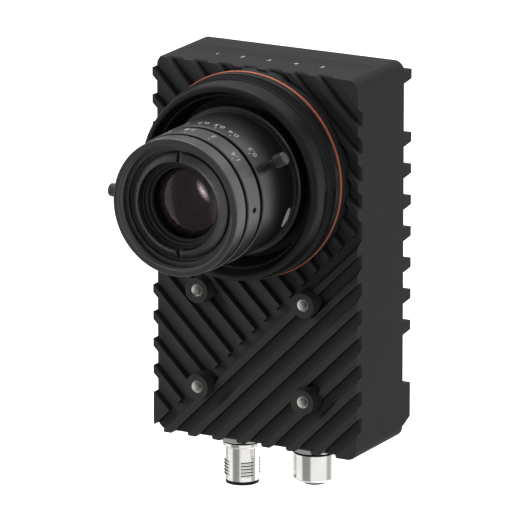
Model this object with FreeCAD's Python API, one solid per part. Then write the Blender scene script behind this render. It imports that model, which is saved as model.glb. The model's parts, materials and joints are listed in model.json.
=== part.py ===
"""Machine vision camera: ribbed die-cast body, manual lens inside a cover collar, two round ports.

Row frame in millimetres: X to the right seen from the front, Y from front to back, +Z up.
The origin is the centre of the four mounting bosses, on the plane of their seating faces.
"Forward" is measured from the floor of the front ribs towards the scene, along -Y.
"Height" is measured from the underside of the housing, along +Z.
"""
import FreeCAD, Part
import math
import os

V = FreeCAD.Vector
UP = V(0, 0, 1)
BACKWARD = V(0, 1, 0)

# ---- Housing ---------------------------------------------------------------------------------
HOUSING_WIDTH = 75.0
HOUSING_HEIGHT = 126.0
CASTING_DEPTH = 27.3           # floor of the front ribs to the rear rim
CORNER_RADIUS = 3.5
EDGE_RADIUS = 1.0
SIDE_WALL = 3.0
FRONT_WALL = 3.2

# ---- Ribbed front ----------------------------------------------------------------------------
RIB_HEIGHT = 2.35
RIB_PITCH = 6.42
RIB_TOP = 1.87                 # flat top, measured across the rib
RIB_SLOPE = 1.25               # run of the sloped flank
CHEVRON_HEIGHT = 39.3          # where the line between the two rib fields crosses the middle
CHEVRON_GROOVE = 2.8           # groove between that line and the first lower rib
FALLING_RIB_SHIFT = 8.49       # a falling rib's steep flank, from the bottom centre

# ---- Mounting bosses -------------------------------------------------------------------------
BOSS_SPACING_X = 38.8
BOSS_SPACING_Z = 32.4
BOSS_RADIUS = 4.05
BOSS_BASE_RADIUS = 4.5         # at the floor of the ribs
BOSS_PROUD = 3.9               # boss face in front of the rib tops
MOUNT_ABOVE_BOTTOM = 34.4
INSERT_RADIUS = 2.3
INSERT_LENGTH = 7.6
INSERT_BORE = 1.65             # M4 core

# ---- Lens seat, collar and lens tube ---------------------------------------------------------
COLLAR_RADIUS = 33.4
COLLAR_FORWARD = 5.9
HUB_RADIUS = 26.4
HUB_FORWARD = 9.2
OPTICAL_BORE = 17.0
POCKET_RADIUS = 20.5
HUB_WALL = 4.6
SEAL_SECTION = 0.9             # radius of the cover seal's cord
SEAL_RADIUS = 33.1             # radius of the cord's centre line
TUBE_BAND_RADIUS = 33.6
TUBE_BAND = 2.2
COVER_THREAD_RADIUS = 32.9     # pitch radius
COVER_THREAD = 4.2
TUBE_NOSE_RADIUS = 32.6
TUBE_NOSE_DRAFT = 0.6
TUBE_NOSE_ROUND = 1.8
TUBE_FORWARD = 21.0
TUBE_LIP_RADIUS = 30.0
TUBE_LIP_ROUND = 0.5
TUBE_STEP_FORWARD = 17.6
TUBE_STEP_RADIUS = 28.6
TUBE_STEP = 0.6

# ---- Lens mount ------------------------------------------------------------------------------
FLANGE_FOCAL = 17.526          # lens shoulder to image plane
MOUNT_FLANGE = 1.4
MOUNT_FLANGE_RADIUS = 21.2
MOUNT_SCREW_CIRCLE = 19.1
LENS_THREAD_RADIUS = 12.62     # 1 inch lens thread
LENS_THREAD_LENGTH = 3.6
FILTER_RADIUS = 11.5
FILTER_THICKNESS = 1.1
FILTER_LEDGE = 0.8

# ---- Lens ------------------------------------------------------------------------------------
SHOULDER_RADIUS = 15.6
SHOULDER = 0.5
BARREL_REAR_RADIUS = 20.6
BARREL_TAPER = 2.4
BARREL_RADIUS = 24.6
BARREL_EDGE = 0.4
BARREL_STOP = 17.0             # front face of the fixed barrel's collar
SLEEVE_SHORT = 2.9             # sleeve ends this far behind the focus ring's front face
SLEEVE_RADIUS = 18.5
SLEEVE_WALL = 2.04
FOCUS_RADIUS = 23.0
FOCUS_REAR = 17.3
FOCUS_LENGTH = 21.6
FOCUS_BEAD = 0.2
FOCUS_BEAD_WIDTH = 0.8
RING_CHAMFER = 0.3
RETAINER = 1.0
RETAINER_RISE = 1.3
RETAINER_ROOM = 0.4
NECK_RETAINER = 0.6
FOCUS_GAP = 1.7                # open groove between the focus and iris rings
IRIS_RADIUS = 22.85
IRIS_LENGTH = 7.9
NECK_RADIUS = 18.94
NECK_CLEARANCE = 0.4           # neck's rear edge in front of the focus ring
RIM_GROOVE = 1.0
RIM_GROOVE_RADIUS = 21.3
RIM_RADIUS = 22.4
RIM_LENGTH = 5.7
FILTER_THREAD_RADIUS = 20.25   # 40.5 mm front filter thread
FILTER_THREAD_LENGTH = 2.8
FILTER_THREAD_CHAMFER = 0.4
RIM_POCKET_RADIUS = 18.24
RIM_POCKET_DEPTH = 1.6
CLAMP_RADIUS = 17.3
CLAMP_BORE = 14.44
CLAMP_RISE = 0.9               # inner edge in front of the filter thread's floor
CLAMP_SINK = 0.5               # outer edge behind the filter thread's floor
CLAMP_LENGTH = 4.1
CLAMP_SLOT = 1.3
CLAMP_SLOT_DEPTH = 1.6
BAFFLE_FLANGE = 0.8
BAFFLE_LENGTH = 3.6
BAFFLE_STEP = 1.2
BAFFLE_LEDGE = 0.75
BAFFLE_TAPER = 0.2
GLASS_RADIUS = 14.2
GLASS_LENGTH = 2.3             # edge of the front glass
GLASS_CURVE = 30.0
GLASS_HOLLOW = 60.0
GLASS_SETBACK = 3.8            # rear edge of the front glass behind the baffle's seat
CELL_BORE = 12.2
CELL_REAR = 20.0
CELL_ROOM = 2.0
REAR_GLASS_INSET = 3.2
REAR_GLASS_LENGTH = 1.8
REAR_GLASS_FRONT = 60.0
REAR_GLASS_BACK = 36.0
SPACER_LENGTH = 6.0
SPACER_WALL = 1.5
MIDDLE_GLASS_LENGTH = 2.0
MIDDLE_GLASS_FRONT = 42.0
MIDDLE_GLASS_BACK = 30.0
IRIS_STACK_GAP = 2.2
IRIS_STACK = 0.8
APERTURE_RADIUS = 6.0
BLADE_COUNT = 8

# ---- Lock screws of the two lens rings -------------------------------------------------------
KNOB_RADIUS = 2.1
KNOB_LENGTH = 4.0
KNOB_STANDOFF = 2.5
LOCK_NECK_RADIUS = 1.2
LOCK_THREAD_RADIUS = 0.95
LOCK_THREAD_DEPTH = 3.6
KNOB_CHAMFER = 0.25
FOCUS_LOCK_ANGLE = 28.0
FOCUS_LOCK_FORWARD = 30.0
IRIS_LOCK_ANGLE = 180.0
SET_SCREW_ANGLE = -1.0
SET_SCREW_LENGTH = 2.2

# ---- Rear cover ------------------------------------------------------------------------------
COVER_PLATE = 3.0
COVER_LIP = 1.5
COVER_LIP_WALL = 2.0
FIN_HEIGHT = 5.2
FIN_PITCH = 10.5
FIN_BASE = 4.46
FIN_TIP = 3.0
FIN_ROUND = 0.9
FIN_ROWS = 12
SCREW_ROWS = (2, 10)           # rows left free for the cover screws, counted from the bottom
BLOCK_ROWS = 2                 # lowest rows, filled by one block
BLOCK_TOP_SLOPE = 0.7
BLOCK_FOOT_SLOPE = 2.4
GASKET_WIDTH = 1.3
GASKET_DEPTH = 1.2

# ---- Fasteners -------------------------------------------------------------------------------
M3_RADIUS = 1.5
M3_HEAD_RADIUS = 2.75
M3_HEAD = 2.4
M3_KEY = 2.5                   # across flats of the hexagon socket
M3_LENGTH = 10.5
M3_SPARE = 2.0                 # thread in the pillar beyond the screw's end
PILLAR_RADIUS = 3.6
PILLAR_INSET = 6.5             # pillar centre from the side faces
PILLAR_ROOM = 0.5
M2_RADIUS = 0.85
M2_HEAD_RADIUS = 1.7
M2_HEAD = 0.9
M2_LENGTH = 3.4
M25_RADIUS = 1.0
M25_HEAD_RADIUS = 2.1
M25_HEAD = 1.5
M25_LENGTH = 4.5
STANDOFF_RADIUS = 2.0
THREAD_CLEARANCE = 0.05
RUNNING_CLEARANCE = 0.06
SEAT_CLEARANCE = 0.1

# ---- Boards ----------------------------------------------------------------------------------
BOARD = 1.6
SENSOR_BOARD_SIZE = 40.0
SENSOR_POST = 17.0             # standoffs from the optical axis, along X and Z
SENSOR_WIDTH = 20.0
SENSOR_HEIGHT = 17.0
SENSOR_THICKNESS = 2.6
SENSOR_DIE_DEPTH = 0.5
MAIN_BOARD_WIDTH = 52.0
MAIN_BOARD_FOOT = 16.0         # height of its lower edge
MAIN_BOARD_HEADROOM = 10.0     # top edge below the top of the housing
MAIN_BOARD_DEPTH = 17.0        # front face behind the rib floor
MAIN_POST_INSET = 2.8
MAIN_POST_FOOT = 4.5
MAIN_POST_TOP = 11.5
CHIP_SIZE = 16.0
CHIP = 1.6
CHIP_HEIGHT = 60.0
PAD = 1.5
PAD_MARGIN = 2.0
LINK_WIDTH = 22.0
LINK_DEPTH = 5.0
LINK_BELOW_AXIS = 15.0
IO_BOARD_WIDTH = 40.0
IO_BOARD_DEPTH = 18.0
IO_BOARD_HEIGHT = 11.6
IO_HEADER_WIDTH = 17.0
IO_HEADER_DEPTH = 3.8
IO_HEADER_HEIGHT = 6.4

# ---- Status lamps ----------------------------------------------------------------------------
WINDOW_LENGTH = 64.0
WINDOW_WIDTH = 6.5
WINDOW_DEPTH = 15.2            # centre line behind the rib floor
WINDOW_PLATE = 1.2
WINDOW_LEDGE = 1.5
WINDOW_GUIDE = 2.6
LAMP_COUNT = 5
LAMP_PITCH = 11.0
LAMP_LENGTH = 3.2
LAMP_WIDTH = 2.8
LAMP_HEIGHT = 1.9
LAMP_BOARD_LENGTH = 62.0
LAMP_BOARD_WIDTH = 13.6
LAMP_BOARD = 1.0
LAMP_BOARD_DROP = 3.0          # below the inside of the top wall
LAMP_POST_X = 26.0
LAMP_POST_RADIUS = 2.4
LAMP_POST_OFFSET = 6.7         # behind the window's centre line
LAMP_LINK_WIDTH = 12.0
LAMP_LINK_DEPTH = 3.5
LAMP_LINK_OVERLAP = 5.0        # length that lies on the processor board

# ---- Round ports -----------------------------------------------------------------------------
PORT_SPACING = 26.8
PORT_DEPTH = 14.0              # port axes behind the rib floor
PORT_THREAD_RADIUS = 5.6       # the thread that passes through the wall
PORT_THREAD_RISE = 7.6
PORT_HEX = 14.6                # across flats
PORT_HEX_HEIGHT = 3.6
PORT_GROOVE_RADIUS = 5.9
PORT_GROOVE = 0.5
PORT_STEP_RADIUS = 6.5
PORT_STEP = 1.5
PORT_SEAL_RADIUS = 6.5
PORT_SEAL_SECTION = 0.5
PORT_NUT_HEX = 15.0
PORT_NUT = 2.6
PORT_CORE_RADIUS = 3.9
CONTACT_COUNT = 7              # on the circle; one more stands in the middle
CONTACT_CIRCLE = 2.7
CONTACT_RADIUS = 0.5
CONTACT_PROUD = 0.5            # soldered end above the port board
PIN_SHORTFALL = 1.2            # power pins end inside their barrel
PORT_LEAD = 0.4                # small chamfer on mouths and inserts
POWER_BARREL_RADIUS = 5.57
POWER_BARREL_END = 16.95       # below the underside of the housing
POWER_WALL = 0.62
POWER_RING = 1.15              # black end ring
POWER_LINER = 0.5
POWER_FLOOR_DEPTH = 8.6
POWER_FLOOR = 2.0
LUG_RADIUS = 6.0
LUG_COUNT = 4
LUG_ANGLE = 43.0
LUG_RIDGES = 5
LUG_PITCH = 1.1
LUG_START = 10.1
KEY_WIDTH = 1.2
KEY_HEIGHT = 0.6
NETWORK_RADIUS = 7.05
NETWORK_END = 13.25
NETWORK_CHAMFER = 0.8
NETWORK_BORE = 5.45            # M12 core
NETWORK_FLOOR_DEPTH = 6.0
NETWORK_PROUD = 1.4
SOCKET_RADIUS = 0.6
SOCKET_DEPTH = 6.0

# ---- Places worked out from the sizes above --------------------------------------------------
FLOOR_Y = BOSS_PROUD + RIB_HEIGHT
RIB_TOP_Y = FLOOR_Y - RIB_HEIGHT
INNER_Y = FLOOR_Y + FRONT_WALL
COVER_Y = FLOOR_Y + CASTING_DEPTH
BACK_Y = COVER_Y + COVER_PLATE
BOTTOM_Z = -MOUNT_ABOVE_BOTTOM
TOP_Z = BOTTOM_Z + HOUSING_HEIGHT
AXIS_Z = TOP_Z - SEAL_RADIUS - SEAL_SECTION
SEAL_FORWARD = COLLAR_FORWARD + SEAL_SECTION
BAND_FORWARD = COLLAR_FORWARD + 2 * SEAL_SECTION
FLANGE_FORWARD = HUB_FORWARD + MOUNT_FLANGE
SLEEVE_BORE = SLEEVE_RADIUS - SLEEVE_WALL
FOCUS_FRONT = FOCUS_REAR + FOCUS_LENGTH
SLEEVE_FRONT = FOCUS_FRONT - SLEEVE_SHORT
BARREL_REAR = FLANGE_FORWARD + SHOULDER
IRIS_REAR = FOCUS_FRONT + FOCUS_GAP
IRIS_FRONT = IRIS_REAR + IRIS_LENGTH
GROOVE_REAR = IRIS_FRONT + SEAT_CLEARANCE
RIM_REAR = GROOVE_REAR + RIM_GROOVE
RIM_FRONT = RIM_REAR + RIM_LENGTH
FILTER_FLOOR = RIM_FRONT - FILTER_THREAD_LENGTH
CLAMP_REAR = FILTER_FLOOR - CLAMP_LENGTH
CLAMP_SEAT = CLAMP_REAR - BAFFLE_FLANGE
GLASS_SEAT = CLAMP_SEAT - GLASS_SETBACK
REAR_GLASS = CELL_REAR + REAR_GLASS_INSET
SPACER_REAR = REAR_GLASS + REAR_GLASS_LENGTH
MIDDLE_GLASS = SPACER_REAR + SPACER_LENGTH
IRIS_STACK_REAR = MIDDLE_GLASS + MIDDLE_GLASS_LENGTH + IRIS_STACK_GAP
BOARD_Y = FLOOR_Y - FLANGE_FORWARD + FLANGE_FOCAL - SENSOR_DIE_DEPTH + SENSOR_THICKNESS
MAIN_Y = FLOOR_Y + MAIN_BOARD_DEPTH
WINDOW_Y = FLOOR_Y + WINDOW_DEPTH
PORT_Y = FLOOR_Y + PORT_DEPTH
PORT_WALL_Z = BOTTOM_Z + SIDE_WALL
POWER_BORE = POWER_BARREL_RADIUS - POWER_WALL
IO_BOARD_Z = BOTTOM_Z + IO_BOARD_HEIGHT
BOSS_POINTS = [V(x, 0, z) for x in (-BOSS_SPACING_X / 2, BOSS_SPACING_X / 2)
               for z in (-BOSS_SPACING_Z / 2, BOSS_SPACING_Z / 2)]


# ---- Shapes used by several pieces -----------------------------------------------------------
def box(x0, x1, y0, y1, z0, z1):
    """Rectangular block between the given faces."""
    return Part.makeBox(x1 - x0, y1 - y0, z1 - z0, V(x0, y0, z0))


def rod(radius, start, end):
    """Round bar from one point to another."""
    return Part.makeCylinder(radius, (end - start).Length, start, end - start)


def turned(points):
    """Solid of revolution about the optical axis from (forward, radius) corners."""
    corners = [V(radius, FLOOR_Y - forward, AXIS_Z) for forward, radius in points]
    face = Part.Face(Part.makePolygon(corners + corners[:1]))
    return face.revolve(V(0, 0, AXIS_Z), BACKWARD, 360)


def ring(rear, front, bore, radius):
    """Plain ring about the optical axis."""
    return turned([(rear, bore), (rear, radius), (front, radius), (front, bore)])


def disc(rear, front, radius):
    """Plain disc about the optical axis."""
    return rod(radius, on_axis(rear), on_axis(front))


def on_axis(forward):
    """Point of the optical axis."""
    return V(0, FLOOR_Y - forward, AXIS_Z)


def radial(angle, radius, forward):
    """Point at an angle from +X towards +Z, a radius from the optical axis."""
    turn = math.radians(angle)
    return V(radius * math.cos(turn), FLOOR_Y - forward, AXIS_Z + radius * math.sin(turn))


def upright(x, points):
    """Solid of revolution about a port's axis from (height, radius) corners."""
    corners = [V(x + radius, PORT_Y, BOTTOM_Z + height) for height, radius in points]
    face = Part.Face(Part.makePolygon(corners + corners[:1]))
    return face.revolve(V(x, PORT_Y, 0), UP, 360)


def rounded_block(width, height, radius, y0, y1):
    """Block with four round corners, centred on the housing's section."""
    middle = (BOTTOM_Z + TOP_Z) / 2
    block = box(-width / 2, width / 2, y0, y1, middle - height / 2, middle + height / 2)
    corners = [edge for edge in block.Edges if abs(edge.tangentAt(edge.FirstParameter).y) > 0.9]
    return block.makeFillet(radius, corners)


def edges_at(shape, y, margin=1e-4):
    """Edges that lie in one plane across the Y axis."""
    return [edge for edge in shape.Edges
            if all(abs(point.Y - y) < margin for point in edge.Vertexes)
            and abs(edge.BoundBox.YMax - edge.BoundBox.YMin) < margin]


def hexagon(across_flats, x, z0, z1):
    """Upright hexagonal prism on a port's axis."""
    reach = across_flats / 2 / math.cos(math.pi / 6)
    corners = [V(x + reach * math.cos(math.radians(60 * step)),
                 PORT_Y + reach * math.sin(math.radians(60 * step)), z0) for step in range(7)]
    return Part.Face(Part.makePolygon(corners)).extrude(V(0, 0, z1 - z0))


def socket_screw(seat, direction, length, radius, head_radius, head, key):
    """Cap screw with a hexagon socket; direction points from the head into the thread."""
    shank = rod(radius, seat, seat + direction * length)
    cap = rod(head_radius, seat - direction * head, seat)
    reach = key / 2 / math.cos(math.pi / 6)
    top = seat - direction * head
    side = direction.cross(V(1, 0, 0))
    if side.Length < 0.5:
        side = direction.cross(V(0, 0, 1))
    side.normalize()
    other = direction.cross(side)
    corners = [top + side * (reach * math.cos(math.radians(60 * step)))
               + other * (reach * math.sin(math.radians(60 * step))) for step in range(7)]
    recess = Part.Face(Part.makePolygon(corners)).extrude(direction * (head * 0.55))
    return shank.fuse(cap).removeSplitter().cut(recess)


# ---- Front housing: one die casting ----------------------------------------------------------
def rib(normal, along, steep, far, flank):
    """One rib: steep flank at one distance, flat top to another, then the sloped flank.

    Distances are measured along the normal from the bottom centre of the front.
    """
    origin = V(0, FLOOR_Y, BOTTOM_Z)
    reach = HOUSING_WIDTH + HOUSING_HEIGHT
    sink = V(0, FRONT_WALL / 2, 0)
    rise = V(0, -RIB_HEIGHT, 0)
    section = [origin + normal * steep + sink, origin + normal * steep + rise,
               origin + normal * far + rise, origin + normal * flank,
               origin + normal * flank + sink]
    section = [point - along * reach for point in section]
    return Part.Face(Part.makePolygon(section + section[:1])).extrude(along * (2 * reach))


def rib_fields():
    """Falling ribs above the chevron line and rising ribs below it, clipped to the outline."""
    diagonal = math.sqrt(0.5)
    falling_normal, rising_normal = V(diagonal, 0, diagonal), V(diagonal, 0, -diagonal)
    limit = (HOUSING_WIDTH / 2 + HOUSING_HEIGHT) * diagonal
    chevron = -CHEVRON_HEIGHT * diagonal
    far_away = 2 * limit

    falling = []
    low_corner = (CHEVRON_HEIGHT - HOUSING_WIDTH) * diagonal
    first = math.ceil((low_corner + RIB_TOP - FALLING_RIB_SHIFT) / RIB_PITCH)
    last = math.floor((limit - FALLING_RIB_SHIFT - RIB_TOP) / RIB_PITCH)
    for number in range(first, last + 1):
        steep = FALLING_RIB_SHIFT + number * RIB_PITCH
        top = steep - RIB_TOP
        flank = top - RIB_SLOPE
        if number == last:
            steep = far_away
        if number == first:
            top = flank = -far_away
        falling.append(rib(falling_normal, rising_normal, steep, top, flank))

    rising = []
    steep = chevron + CHEVRON_GROOVE + RIB_SLOPE + RIB_TOP
    corner = HOUSING_WIDTH / 2 * diagonal
    while steep - RIB_TOP < corner:
        final = steep + RIB_PITCH - RIB_TOP > corner
        end = far_away if final else steep
        rising.append(rib(rising_normal, falling_normal, end, steep - RIB_TOP,
                          steep - RIB_TOP - RIB_SLOPE))
        steep += RIB_PITCH

    upper = rib(rising_normal, falling_normal, chevron, -far_away, -far_away)
    lower = rib(rising_normal, falling_normal, far_away, chevron, chevron)
    outline = rounded_block(HOUSING_WIDTH, HOUSING_HEIGHT, CORNER_RADIUS,
                            RIB_TOP_Y, FLOOR_Y + FRONT_WALL / 2)
    return (falling[0].multiFuse(falling[1:]).common(upper).common(outline),
            rising[0].multiFuse(rising[1:]).common(lower).common(outline))


def pillar_points():
    """Centres of the cover screws, in the free fin rows."""
    reach = HOUSING_WIDTH / 2 - PILLAR_INSET
    return [(side * reach, fin_height(row)) for side in (-1, 1) for row in SCREW_ROWS]


def port_x(side):
    """X of a port's axis; side is -1 for power and 1 for the network."""
    return side * PORT_SPACING / 2


def lamp_posts():
    """Centres of the posts under the top wall that carry the lamp board."""
    return [V(side * LAMP_POST_X, WINDOW_Y + LAMP_POST_OFFSET, TOP_Z - SIDE_WALL) for side in (-1, 1)]


def front_housing():
    """Ribbed shell with collar, lens hub, mounting bosses, screw pillars and wall openings."""
    shell = rounded_block(HOUSING_WIDTH, HOUSING_HEIGHT, CORNER_RADIUS, FLOOR_Y, COVER_Y)
    shell = shell.makeFillet(EDGE_RADIUS, edges_at(shell, FLOOR_Y))
    cavity = rounded_block(HOUSING_WIDTH - 2 * SIDE_WALL, HOUSING_HEIGHT - 2 * SIDE_WALL,
                           CORNER_RADIUS - SIDE_WALL / 2, INNER_Y, COVER_Y + 1)
    bosses = [Part.makeCone(BOSS_RADIUS, BOSS_BASE_RADIUS, FLOOR_Y, point, BACKWARD)
              for point in BOSS_POINTS]
    bosses += [rod(BOSS_BASE_RADIUS, point + V(0, FLOOR_Y, 0), point + V(0, INNER_Y - 1, 0))
               for point in BOSS_POINTS]
    collar = disc(-FRONT_WALL / 2, COLLAR_FORWARD, COLLAR_RADIUS)
    hub = disc(-FRONT_WALL / 2, HUB_FORWARD, HUB_RADIUS)
    pillars = [rod(PILLAR_RADIUS, V(x, INNER_Y - 1, z), V(x, COVER_Y, z)) for x, z in pillar_points()]
    posts = [rod(LAMP_POST_RADIUS, point + V(0, 0, 1), point - V(0, 0, LAMP_BOARD_DROP))
             for point in lamp_posts()]
    body = shell.cut(cavity).multiFuse(list(rib_fields()) + bosses + [collar, hub] + pillars + posts)

    cuts = [rod(INSERT_RADIUS + THREAD_CLEARANCE, point - V(0, 1, 0), point + V(0, INSERT_LENGTH, 0))
            for point in BOSS_POINTS]
    cuts.append(disc(-CASTING_DEPTH, HUB_FORWARD + 1, OPTICAL_BORE))
    cuts.append(disc(-CASTING_DEPTH, HUB_FORWARD - HUB_WALL, POCKET_RADIUS))
    depth = M3_LENGTH - COVER_PLATE + M3_SPARE
    cuts += [rod(M3_RADIUS + THREAD_CLEARANCE, V(x, COVER_Y + 1, z), V(x, COVER_Y - depth, z))
             for x, z in pillar_points()]
    cuts += [rod(M2_RADIUS + THREAD_CLEARANCE, seat, seat + V(0, M2_LENGTH, 0))
             for seat in mount_screw_seats(HUB_FORWARD)]
    cuts += [rod(PORT_THREAD_RADIUS + SEAT_CLEARANCE, V(port_x(side), PORT_Y, BOTTOM_Z - 1),
                 V(port_x(side), PORT_Y, PORT_WALL_Z + 1)) for side in (-1, 1)]
    cuts += [rod(M2_RADIUS + THREAD_CLEARANCE, point - V(0, 0, LAMP_BOARD_DROP), point)
             for point in lamp_posts()]
    cuts.append(window_strip(SEAT_CLEARANCE, TOP_Z - WINDOW_PLATE, TOP_Z + 1, 0))
    cuts.append(window_strip(SEAT_CLEARANCE, TOP_Z - SIDE_WALL - 1, TOP_Z, WINDOW_LEDGE))
    cuts.append(gasket_loop(GASKET_WIDTH + 2 * SEAT_CLEARANCE, COVER_Y - GASKET_DEPTH, COVER_Y + 1))
    return body.cut(Part.makeCompound(cuts)).removeSplitter()


def boss_inserts():
    """Steel thread inserts, one in each mounting boss."""
    inserts = []
    for point in BOSS_POINTS:
        end = point + V(0, INSERT_LENGTH, 0)
        inserts.append(rod(INSERT_RADIUS, point, end).cut(rod(INSERT_BORE, point, end)))
    return Part.makeCompound(inserts)


# ---- Rear cover, its gasket and screws -------------------------------------------------------
def fin_height(row):
    """Z of a fin row's centre, with the rows centred on the housing."""
    middle = (BOTTOM_Z + TOP_Z) / 2
    return middle + (row - (FIN_ROWS - 1) / 2) * FIN_PITCH


def fin(foot_low, foot_high, tip_low, tip_high):
    """Full-width fin with sloped flanks and a rounded tip."""
    left = -HOUSING_WIDTH / 2
    corners = [V(left, BACK_Y - COVER_PLATE / 2, foot_low), V(left, BACK_Y, foot_low),
               V(left, BACK_Y + FIN_HEIGHT, tip_low), V(left, BACK_Y + FIN_HEIGHT, tip_high),
               V(left, BACK_Y, foot_high), V(left, BACK_Y - COVER_PLATE / 2, foot_high)]
    solid = Part.Face(Part.makePolygon(corners + corners[:1])).extrude(V(HOUSING_WIDTH, 0, 0))
    tips = [edge for edge in edges_at(solid, BACK_Y + FIN_HEIGHT)]
    return solid.makeFillet(FIN_ROUND, tips)


def rear_cover():
    """Finned back plate with a locating lip and a pedestal that cools the processor."""
    plate = rounded_block(HOUSING_WIDTH, HOUSING_HEIGHT, CORNER_RADIUS, COVER_Y, BACK_Y)
    plate = plate.makeFillet(EDGE_RADIUS, edges_at(plate, BACK_Y))
    inside_width = HOUSING_WIDTH - 2 * (SIDE_WALL + SEAT_CLEARANCE)
    inside_height = HOUSING_HEIGHT - 2 * (SIDE_WALL + SEAT_CLEARANCE)
    inside_radius = CORNER_RADIUS - SIDE_WALL / 2
    lip = rounded_block(inside_width, inside_height, inside_radius, COVER_Y - COVER_LIP, COVER_Y + 1)
    hollow = rounded_block(inside_width - 2 * COVER_LIP_WALL, inside_height - 2 * COVER_LIP_WALL,
                           inside_radius, COVER_Y - COVER_LIP - 1, COVER_Y)
    lip = lip.cut(hollow)
    chip_z = BOTTOM_Z + CHIP_HEIGHT
    reach = CHIP_SIZE / 2 + PAD_MARGIN
    pedestal = box(-reach, reach, MAIN_Y + BOARD + CHIP + PAD, COVER_Y + 1, chip_z - reach, chip_z + reach)
    fins = []
    for row in range(BLOCK_ROWS, FIN_ROWS):
        if row not in SCREW_ROWS:
            z = fin_height(row)
            fins.append(fin(z - FIN_BASE / 2, z + FIN_BASE / 2, z - FIN_TIP / 2, z + FIN_TIP / 2))
    low = fin_height(0) - FIN_TIP / 2
    high = fin_height(BLOCK_ROWS - 1) + FIN_TIP / 2
    fins.append(fin(low, high + BLOCK_TOP_SLOPE, low + BLOCK_FOOT_SLOPE, high))
    cuts = [rod(PILLAR_RADIUS + SEAT_CLEARANCE, V(x, COVER_Y - COVER_LIP - 1, z), V(x, COVER_Y, z))
            for x, z in pillar_points()]
    cuts += [rod(M3_RADIUS + 2 * SEAT_CLEARANCE, V(x, COVER_Y - 1, z), V(x, BACK_Y + 1, z))
             for x, z in pillar_points()]
    return plate.multiFuse([lip, pedestal] + fins).cut(Part.makeCompound(cuts)).removeSplitter()


def gasket_loop(width, y0, y1):
    """Rounded loop of a given width that runs round the middle of the rim."""
    inset = (SIDE_WALL - width) / 2
    outer = rounded_block(HOUSING_WIDTH - 2 * inset, HOUSING_HEIGHT - 2 * inset,
                          CORNER_RADIUS - inset, y0, y1)
    inset += width
    inner = rounded_block(HOUSING_WIDTH - 2 * inset, HOUSING_HEIGHT - 2 * inset,
                          CORNER_RADIUS - inset, y0 - 1, y1 + 1)
    return outer.cut(inner)


def cover_screws():
    """Four cap screws that clamp the rear cover to the pillars."""
    return Part.makeCompound([
        socket_screw(V(x, BACK_Y, z), V(0, -1, 0), M3_LENGTH, M3_RADIUS, M3_HEAD_RADIUS, M3_HEAD, M3_KEY)
        for x, z in pillar_points()])


# ---- Lens tube with its cover seal -----------------------------------------------------------
def lens_tube():
    """Turned tube round the lens: seal groove, plain band, cover thread and rounded nose."""
    bore = HUB_RADIUS + THREAD_CLEARANCE
    groove = SEAL_RADIUS - SEAL_SECTION - SEAT_CLEARANCE
    thread_start = BAND_FORWARD + TUBE_BAND
    thread_end = thread_start + COVER_THREAD
    nose = TUBE_NOSE_RADIUS - TUBE_NOSE_DRAFT
    body = turned([(COLLAR_FORWARD, bore), (COLLAR_FORWARD, groove), (BAND_FORWARD, groove),
                   (BAND_FORWARD, TUBE_BAND_RADIUS), (thread_start, TUBE_BAND_RADIUS),
                   (thread_start, COVER_THREAD_RADIUS), (thread_end, COVER_THREAD_RADIUS),
                   (thread_end, TUBE_NOSE_RADIUS), (TUBE_FORWARD, nose), (TUBE_FORWARD, TUBE_LIP_RADIUS),
                   (TUBE_STEP_FORWARD, TUBE_STEP_RADIUS), (TUBE_STEP_FORWARD, TUBE_STEP_RADIUS - TUBE_STEP),
                   (HUB_FORWARD, bore)])
    front = edges_at(body, FLOOR_Y - TUBE_FORWARD)
    outer = [edge for edge in front if edge.Curve.Radius > nose - SEAT_CLEARANCE]
    body = body.makeFillet(TUBE_NOSE_ROUND, outer)
    inner = [edge for edge in edges_at(body, FLOOR_Y - TUBE_FORWARD)
             if edge.Curve.Radius < TUBE_LIP_RADIUS + SEAT_CLEARANCE]
    return body.makeFillet(TUBE_LIP_ROUND, inner)


def cover_seal():
    """Orange O-ring in the groove between collar and tube."""
    return Part.makeTorus(SEAL_RADIUS, SEAL_SECTION, on_axis(SEAL_FORWARD), BACKWARD)


# ---- Lens mount and filter -------------------------------------------------------------------
def mount_screw_seats(forward):
    """Centres of the four screws of the lens mount."""
    return [radial(45 + 90 * step, MOUNT_SCREW_CIRCLE, forward) for step in range(4)]


def lens_mount():
    """Steel lens mount with its thread and a ledge for the filter behind it."""
    thread_bore = LENS_THREAD_RADIUS + THREAD_CLEARANCE
    rear = HUB_FORWARD - HUB_WALL
    ledge = rear + FILTER_THICKNESS
    spigot = OPTICAL_BORE - SEAT_CLEARANCE
    body = turned([(FLANGE_FORWARD, thread_bore), (FLANGE_FORWARD, MOUNT_FLANGE_RADIUS),
                   (HUB_FORWARD, MOUNT_FLANGE_RADIUS), (HUB_FORWARD, spigot), (rear, spigot),
                   (rear, FILTER_RADIUS + SEAT_CLEARANCE), (ledge, FILTER_RADIUS + SEAT_CLEARANCE),
                   (ledge, FILTER_RADIUS - 1), (ledge + FILTER_LEDGE, FILTER_RADIUS - 1),
                   (ledge + FILTER_LEDGE, thread_bore)])
    holes = [rod(M2_HEAD_RADIUS + SEAT_CLEARANCE, seat - V(0, 1, 0), seat + V(0, M2_HEAD, 0))
             for seat in mount_screw_seats(FLANGE_FORWARD)]
    holes += [rod(M2_RADIUS + SEAT_CLEARANCE, seat, seat + V(0, MOUNT_FLANGE + 1, 0))
              for seat in mount_screw_seats(FLANGE_FORWARD)]
    return body.cut(Part.makeCompound(holes))


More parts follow.
